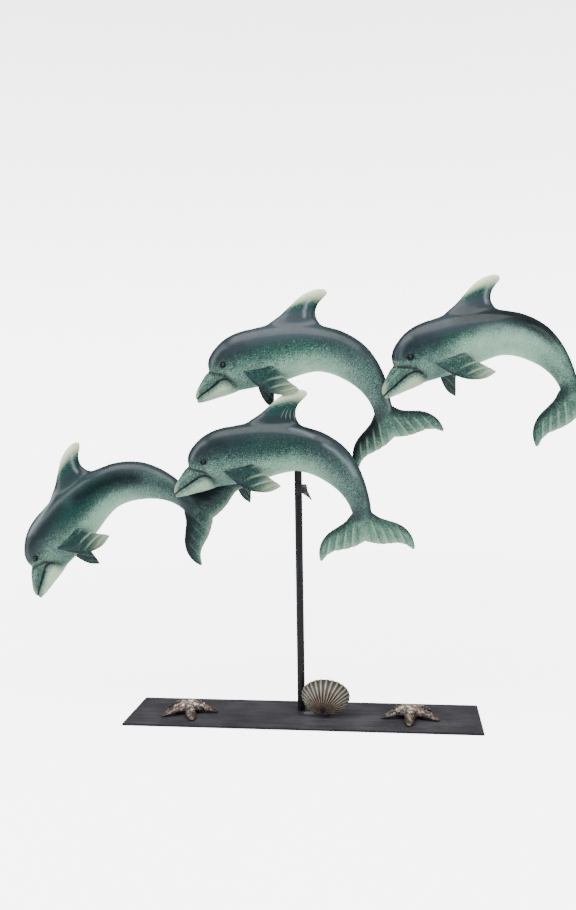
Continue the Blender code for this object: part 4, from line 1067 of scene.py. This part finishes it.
# Tab. A torn three-cornered scrap of sheet steel left soldered across the front of the rod under
# the middle dolphin, bare and dark, with a rough lump of solder over the rod.
TAB_OUTLINE = [(-1.0, 0.0), (9.3, 0.3), (10.3, -6.2), (15.3, -17.2), (5.2, -9.4), (-0.6, -11.2)]
TAB_THICKNESS = 1.4
TAB_LEVEL = 0.2411
ROD_RADIUS = 0.004
TEAR_STEP, TEAR_REACH, TEAR_SEED = 0.5, 0.22, 5
# How far the outline is drawn in and its place in the thickness, from front to back
TAB_LAYERS = ((0.35, -0.5), (0.08, -0.5), (0.0, -0.32), (0.0, 0.32), (0.08, 0.5), (0.35, 0.5))
LUMP_ROWS, LUMP_SIDES, LUMP_REACH, LUMP_FOOT, LUMP_RISE = 18, 22, 1.5, -11.5, 11.0

# Bare sheet steel gone dull: dark scale with brighter clouds about 3 mm wide, black over the rod
STEEL_CLOUD, STEEL_DEPTH = 1 / 350, 0.0004
raw_steel, raw_tree, raw_shader = new_material("torn_steel_sheet")
raw_place = add_node(raw_tree, "ShaderNodeTexCoord").outputs["Object"]
raw_cloud = add_node(raw_tree, "ShaderNodeTexNoise", {}, {
    "Vector": raw_place, "Scale": 1 / STEEL_CLOUD, "Detail": 5.0})
raw_tone = add_node(raw_tree, "ShaderNodeValToRGB", {
    "stops": [(0.32, "#111214"), (0.5, "#232528"), (0.72, "#5A5C5E")]}, {"Fac": raw_cloud})
raw_across = add_node(raw_tree, "ShaderNodeSeparateXYZ", {}, {"Vector": raw_place}).outputs["X"]
raw_bare = add_node(raw_tree, "ShaderNodeMapRange", {}, {
    "Value": raw_across, "From Min": POST_X + 0.0030, "From Max": POST_X + 0.0045})
raw_colour = add_node(raw_tree, "ShaderNodeMix", {"data_type": "RGBA"}, {
    "Factor": raw_bare, "A": paint("#0B0C0D"), "B": raw_tone})
raw_rough = add_node(raw_tree, "ShaderNodeMapRange", {}, {
    "Value": raw_cloud, "From Min": 0.3, "From Max": 0.7, "To Min": 0.35, "To Max": 0.6})
raw_bump = add_node(raw_tree, "ShaderNodeBump", {}, {
    "Height": raw_cloud, "Strength": 0.4, "Distance": STEEL_DEPTH})
set_inputs(raw_tree, raw_shader, {
    "Base Color": raw_colour, "Roughness": raw_rough, "Normal": raw_bump, "Metallic": 0.35})


def ragged_outline():
    """The scrap's outline with a small random tear at each step along its edges."""
    outline = np.array(TAB_OUTLINE)
    ragged = []
    draw = np.random.default_rng(TEAR_SEED)
    for start, end in zip(outline, np.roll(outline, -1, axis=0)):
        steps = max(int(np.hypot(*(end - start)) / TEAR_STEP), 2)
        side = np.array([-(end - start)[1], (end - start)[0]]) / np.hypot(*(end - start))
        for k in range(steps):
            tear = 0.0 if k == 0 else draw.uniform(-TEAR_REACH, TEAR_REACH)
            ragged.append(start + (end - start) * k / steps + side * tear)
    return np.array(ragged)


def solder_lump():
    """Rings of an uneven blob of solder that runs down over the rod."""
    rings = []
    angle = np.linspace(0, 2 * math.pi, LUMP_SIDES, endpoint=False)
    for row in np.linspace(0, 1, LUMP_ROWS):
        reach = LUMP_REACH * math.sin(math.pi * (0.04 + 0.92 * row)) ** 0.6
        rough = 1 + 0.16 * np.sin(angle * 3 + row * 9) + 0.10 * np.cos(angle * 5 - row * 14)
        rings.append(np.stack([0.3 + reach * rough * np.cos(angle) * 1.25,
                               0.2 + reach * rough * np.sin(angle) * 0.55,
                               np.full(LUMP_SIDES, LUMP_FOOT + LUMP_RISE * row)], axis=1))
    return rings


def torn_tab():
    """The scrap with its front and back joined by rounded, slightly wavy sides, and the solder."""
    ragged = ragged_outline()
    centre = ragged.mean(0)
    rings = []
    for inset, depth in TAB_LAYERS:
        flat = ragged + (centre - ragged) * inset
        wave = 0.10 * np.sin(flat[:, 0] * 1.7) + 0.08 * np.cos(flat[:, 1] * 2.3)
        rings.append(np.stack([flat[:, 0], depth * TAB_THICKNESS + wave, flat[:, 1]], axis=1))
    points, faces = skin(rings)
    lump_points, lump_faces = skin(solder_lump())
    faces += [tuple(i + len(points) for i in face) for face in lump_faces]
    thing = add_mesh("torn_tab", np.vstack([points, lump_points]), faces, raw_steel)
    face_out(thing.data)
    front = POST_Y - ROD_RADIUS - FIT_GAP - TAB_THICKNESS * MILLIMETRE / 2
    thing.data.transform(Matrix.Translation((POST_X, front, TAB_LEVEL)) @ Matrix.Scale(MILLIMETRE, 4))
    thing.data.shade_smooth()
    thing.data.set_sharp_from_angle(angle=math.radians(35))
    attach(thing, "root")
    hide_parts("post_tab")


torn_tab()

# Scallop shell. One small valve cast in metal, set on its hinge against the foot of the rod and
# leaning back, hollow behind. Washed with brown in its grooves and rubbed back to pale ribs.
SHELL_WIDTH, SHELL_HEIGHT, SHELL_BULGE, SHELL_WALL = 48.6, 36.0, 12.5, 2.2
SHELL_RIBS, SHELL_FLARE = 28, 0.13
SHELL_LEAN, SHELL_TURN = math.radians(14), math.radians(4)
SHELL_PLACE_X, SHELL_PLACE_Y = 0.0235, -0.0030
UMBO = (-0.05, -0.80)
SHELL_ROWS, SHELL_COLUMNS = 40, SHELL_RIBS * 14
LIP_ROUND, LIP_RIBS, INNER_RIBS = 0.012, 0.6, 0.25
SHELL_RIB_HEIGHT, SHELL_RIB_ROUNDNESS = 1.0, 2.2
PLATE_TOP = 0.0025

# Cast white metal under a brown wash: dull grey ribs, dark grooves, grit about 2.4 mm across
SHELL_GRIT, SHELL_GRIT_DEPTH = 1 / 420, 0.0005
shell_wash, shell_tree, shell_shader = new_material("washed_cast_metal_shell")
shell_rib, shell_rise = (
    add_node(shell_tree, "ShaderNodeAttribute", {"attribute_name": name}).outputs["Fac"]
    for name in ("rib_place", "shell_rise"))
shell_grit = add_node(shell_tree, "ShaderNodeTexNoise", {}, {
    "Vector": add_node(shell_tree, "ShaderNodeTexCoord").outputs["Object"],
    "Scale": 1 / SHELL_GRIT, "Detail": 5.0, "Roughness": 0.65})
shell_edge = add_node(shell_tree, "ShaderNodeMath", {"operation": "PINGPONG"}, {0: shell_rib, 1: 0.5})
shell_edge = add_node(shell_tree, "ShaderNodeMath", {"operation": "MULTIPLY_ADD"}, {
    0: shell_grit, 1: 0.35, 2: shell_edge})
shell_ridge = add_node(shell_tree, "ShaderNodeMapRange", {"interpolation_type": "SMOOTHSTEP"}, {
    "Value": shell_edge, "From Min": 0.40, "From Max": 0.68})
shell_zone = add_node(shell_tree, "ShaderNodeMath", {"operation": "MULTIPLY_ADD"}, {
    0: shell_grit, 1: 0.25, 2: shell_rise})
shell_body, shell_pale = (
    add_node(shell_tree, "ShaderNodeValToRGB", {"stops": stops}, {"Fac": shell_zone}) for stops in (
        [(0.12, "#141210"), (0.32, "#241C18"), (0.60, "#33281F"), (0.85, "#353026"), (1.0, "#4A4A3E")],
        [(0.12, "#2A2620"), (0.35, "#635242"), (0.65, "#82715E"), (0.9, "#787364")]))
shell_groove = add_node(shell_tree, "ShaderNodeMix", {"data_type": "RGBA", "blend_type": "MULTIPLY"}, {
    "Factor": 0.75, "A": shell_body, "B": paint("#8B7A70")})
shell_mix = add_node(shell_tree, "ShaderNodeMix", {"data_type": "RGBA"}, {
    "Factor": shell_ridge, "A": shell_groove, "B": shell_pale})
shell_bump = add_node(shell_tree, "ShaderNodeBump", {}, {
    "Height": shell_grit, "Strength": 0.35, "Distance": SHELL_GRIT_DEPTH})
set_inputs(shell_tree, shell_shader, {
    "Base Color": shell_mix, "Normal": shell_bump, "Roughness": 0.42, "Metallic": 0.1})


def scallop():
    """Outer and inner skin of the valve, a rounded lip, and ribs raised from hinge to rim."""
    half_w, half_h = SHELL_WIDTH / 2, SHELL_HEIGHT / 2
    umbo = np.array(UMBO) * (half_w, half_h)
    angle = np.linspace(0, 2 * math.pi, SHELL_COLUMNS, endpoint=False)
    rim = np.stack([half_w * np.cos(angle) * (1 + SHELL_FLARE * np.sin(angle)),
                    half_h * np.sin(angle)], axis=1)

    def valve(wall, share):
        flat = umbo + (rim - umbo) * share
        out = np.minimum((flat[:, 0] / half_w) ** 2 + (flat[:, 1] / half_h) ** 2, 1.0)
        return np.stack([flat[:, 0], wall - SHELL_BULGE * (1 - out) ** 0.6, flat[:, 1]], axis=1)

    shares = np.linspace(0.03, 1.0, SHELL_ROWS) ** 0.8
    rings = [valve(0.0, s) for s in shares]
    inner = [valve(SHELL_WALL, s) for s in shares[::-1]]
    lip = (rings[-1] + inner[0]) / 2
    lip = lip + np.stack([rim[:, 0] * LIP_ROUND, 0 * angle, rim[:, 1] * LIP_ROUND], axis=1)
    points, faces = skin(rings + [lip] + inner)
    thing = add_mesh("ribbed_shell", points, faces)
    face_out(thing.data)
    # One number for each ring, spread over its points, with none for the two poles
    rise = np.concatenate([shares, [1.0], shares[::-1]])
    outer = np.repeat([1.0, LIP_RIBS, INNER_RIBS], [SHELL_ROWS, 1, SHELL_ROWS])
    place = np.tile(angle * SHELL_RIBS / (2 * math.pi) + 0.5, len(rise))
    for name, values in (("shell_rise", np.repeat(rise, SHELL_COLUMNS)), ("rib_place", place),
                         ("rib_strength", np.repeat(outer * soft_step(0.05, 0.45, rise), SHELL_COLUMNS))):
        write_attribute(thing.data, name, np.concatenate([values, [0, 0]]))
    grow(thing, raised_ribs, {
        "Rib Height": SHELL_RIB_HEIGHT, "Rib Roundness": SHELL_RIB_ROUNDNESS, "Finish": shell_wash})
    mesh = thing.data
    mesh.transform(Matrix.Rotation(SHELL_TURN, 4, "Y") @ Matrix.Rotation(-SHELL_LEAN, 4, "X"))
    lowest = vectors_of(mesh, "co")[:, 2].min() * MILLIMETRE
    mesh.transform(Matrix.Translation((SHELL_PLACE_X, SHELL_PLACE_Y, PLATE_TOP + FIT_GAP - lowest))
                   @ Matrix.Scale(MILLIMETRE, 4))
    mesh.shade_smooth()
    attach(thing, "root")
    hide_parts("scallop_shell")


scallop()

# Starfish. Two solid castings in white metal lying on the plate, five arms arched over the
# plate from a humped middle, covered with grains and washed dark brown, rubbed bright on top.
STAR_RADIUS, STAR_THICKNESS, STAR_LIFT, STAR_EDGE = 32.0, 6.8, 4.2, 0.9
# One arm's outline: degrees from its middle and share of the radius
STAR_ARM = [(-20, 0.46), (-7, 0.88), (0, 1.0), (7, 0.88), (20, 0.46), (36, 0.34)]
STAR_ARMS, STAR_COLUMNS, STAR_UPPER_ROWS, STAR_UNDER_ROWS = 5, 240, 26, 10
STARS = {"left": (-0.1209, -0.0030, math.radians(217.6)), "right": (0.1108, -0.0009, math.radians(193.7))}
GRAIN_RADIUS, GRAIN_SPACING, GRAIN_DENSITY, GRAIN_SEED = 1.05, 2.3, 0.9, 7
GRAIN_SIZES, GRAIN_SIZES_SEED = (0.65, 1.15), 3

# Cast white metal washed dark brown and rubbed bright on its grains, pitted about 4 mm apart
STAR_PITS, STAR_PIT_DEPTH = 1 / 260, 0.0012
star_metal, star_tree, star_shader = new_material("washed_white_metal")
star_height = add_node(star_tree, "ShaderNodeAttribute", {"attribute_name": "star_height"}).outputs["Fac"]
star_cloud = add_node(star_tree, "ShaderNodeTexNoise", {}, {
    "Vector": add_node(star_tree, "ShaderNodeTexCoord").outputs["Object"],
    "Scale": 1 / STAR_PITS, "Detail": 5.0, "Roughness": 0.6})
star_level = add_node(star_tree, "ShaderNodeMath", {"operation": "MULTIPLY_ADD"}, {
    0: star_cloud, 1: 1.25, 2: star_height})
star_tone = add_node(star_tree, "ShaderNodeValToRGB", {"stops": [
    (0.52, "#181310"), (0.70, "#3A2F28"), (0.84, "#65584D"), (0.98, "#9A8F81"), (1.0, "#D6D0C0")]}, {
    "Fac": star_level})
star_rough = add_node(star_tree, "ShaderNodeMapRange", {}, {
    "Value": star_cloud, "From Min": 0.3, "From Max": 0.7, "To Min": 0.50, "To Max": 0.30})
star_bump = add_node(star_tree, "ShaderNodeBump", {}, {
    "Height": star_cloud, "Strength": 0.7, "Distance": STAR_PIT_DEPTH})
set_inputs(star_tree, star_shader, {
    "Base Color": star_tone, "Roughness": star_rough, "Normal": star_bump, "Metallic": 0.3})


def grain_tree():
    """Scatter small domed grains over the upper side of a star and keep the star under them."""
    tree, given = new_tree("cast_grains", ("Grain Radius", "Grain Spacing"))
    room = add_node(tree, "GeometryNodeInputNamedAttribute", {"data_type": "FLOAT"}, {"Name": "grain_room"})
    spots = add_node(tree, "GeometryNodeDistributePointsOnFaces", {"distribute_method": "POISSON"}, {
        "Mesh": given["Geometry"], "Distance Min": given["Grain Spacing"], "Density Max": GRAIN_DENSITY,
        "Density Factor": room, "Seed": GRAIN_SEED})
    bead = add_node(tree, "GeometryNodeMeshIcoSphere", {}, {
        "Radius": given["Grain Radius"], "Subdivisions": 2})
    sizes = add_node(tree, "FunctionNodeRandomValue", {"data_type": "FLOAT"}, {
        "Min": GRAIN_SIZES[0], "Max": GRAIN_SIZES[1], "Seed": GRAIN_SIZES_SEED})
    beads = add_node(tree, "GeometryNodeInstanceOnPoints", {}, {
        "Points": spots, "Instance": bead, "Rotation": spots.outputs["Rotation"], "Scale": sizes})
    both = add_node(tree, "GeometryNodeJoinGeometry", {}, {"Geometry": beads})
    tree.links.new(given["Geometry"], both.inputs["Geometry"])
    end_tree(tree, both, given["Finish"])
    return tree


cast_grains = grain_tree()


def star_reach(angle):
    """How far the outline goes at each angle in degrees, as a share of the radius, its corners
    softened."""
    degrees = np.array([360 / STAR_ARMS * k + a for k in range(STAR_ARMS) for a, _ in STAR_ARM]) % 360
    reaches = np.array([r for _ in range(STAR_ARMS) for _, r in STAR_ARM])
    order = np.argsort(degrees)
    reach = np.interp(angle, degrees[order], reaches[order], period=360)
    soften = np.array([1, 2, 3, 2, 1]) / 9
    return np.convolve(np.concatenate([reach[-2:], reach, reach[:2]]), soften, "valid")


def star(which, spot):
    """One starfish: upper and under skin from the middle out to the arms' edge."""
    angle = np.linspace(0, 360, STAR_COLUMNS, endpoint=False)
    turn, reach = np.radians(angle), star_reach(angle)
    rings, heights = [], []
    for upper, rows in ((True, np.linspace(0.02, 1.0, STAR_UPPER_ROWS)),
                        (False, np.linspace(1.0, 0.02, STAR_UNDER_ROWS))):
        for row in rows:
            share = reach * row
            radius = STAR_RADIUS * share
            height = STAR_LIFT * (1 - share**2)
            if upper:
                hump = (1 - 0.55 * share) * (1 - row**3) * (1 - 0.12 * (1 - row) ** 2)
                height = height + STAR_EDGE + STAR_THICKNESS * hump
            rings.append(np.stack([radius * np.cos(turn), radius * np.sin(turn), height], axis=1))
            heights.append(np.full(STAR_COLUMNS, (1 - row**2) * upper))
    points, faces = skin(rings)
    thing = add_mesh("starfish_" + which + "_casting", points, faces)
    face_out(thing.data)
    level = np.concatenate(heights + [[1, 0]])
    write_attribute(thing.data, "star_height", level * 0.30)
    write_attribute(thing.data, "grain_room", np.clip(level * 3, 0, 1))
    grow(thing, cast_grains, {
        "Grain Radius": GRAIN_RADIUS, "Grain Spacing": GRAIN_SPACING, "Finish": star_metal})
    thing.data.transform(Matrix.Translation((spot[0], spot[1], PLATE_TOP + FIT_GAP))
                         @ Matrix.Rotation(spot[2], 4, "Z") @ Matrix.Scale(MILLIMETRE, 4))
    thing.data.shade_smooth()
    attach(thing, "root")
    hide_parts("starfish_" + which)


for which, spot in STARS.items():
    star(which, spot)
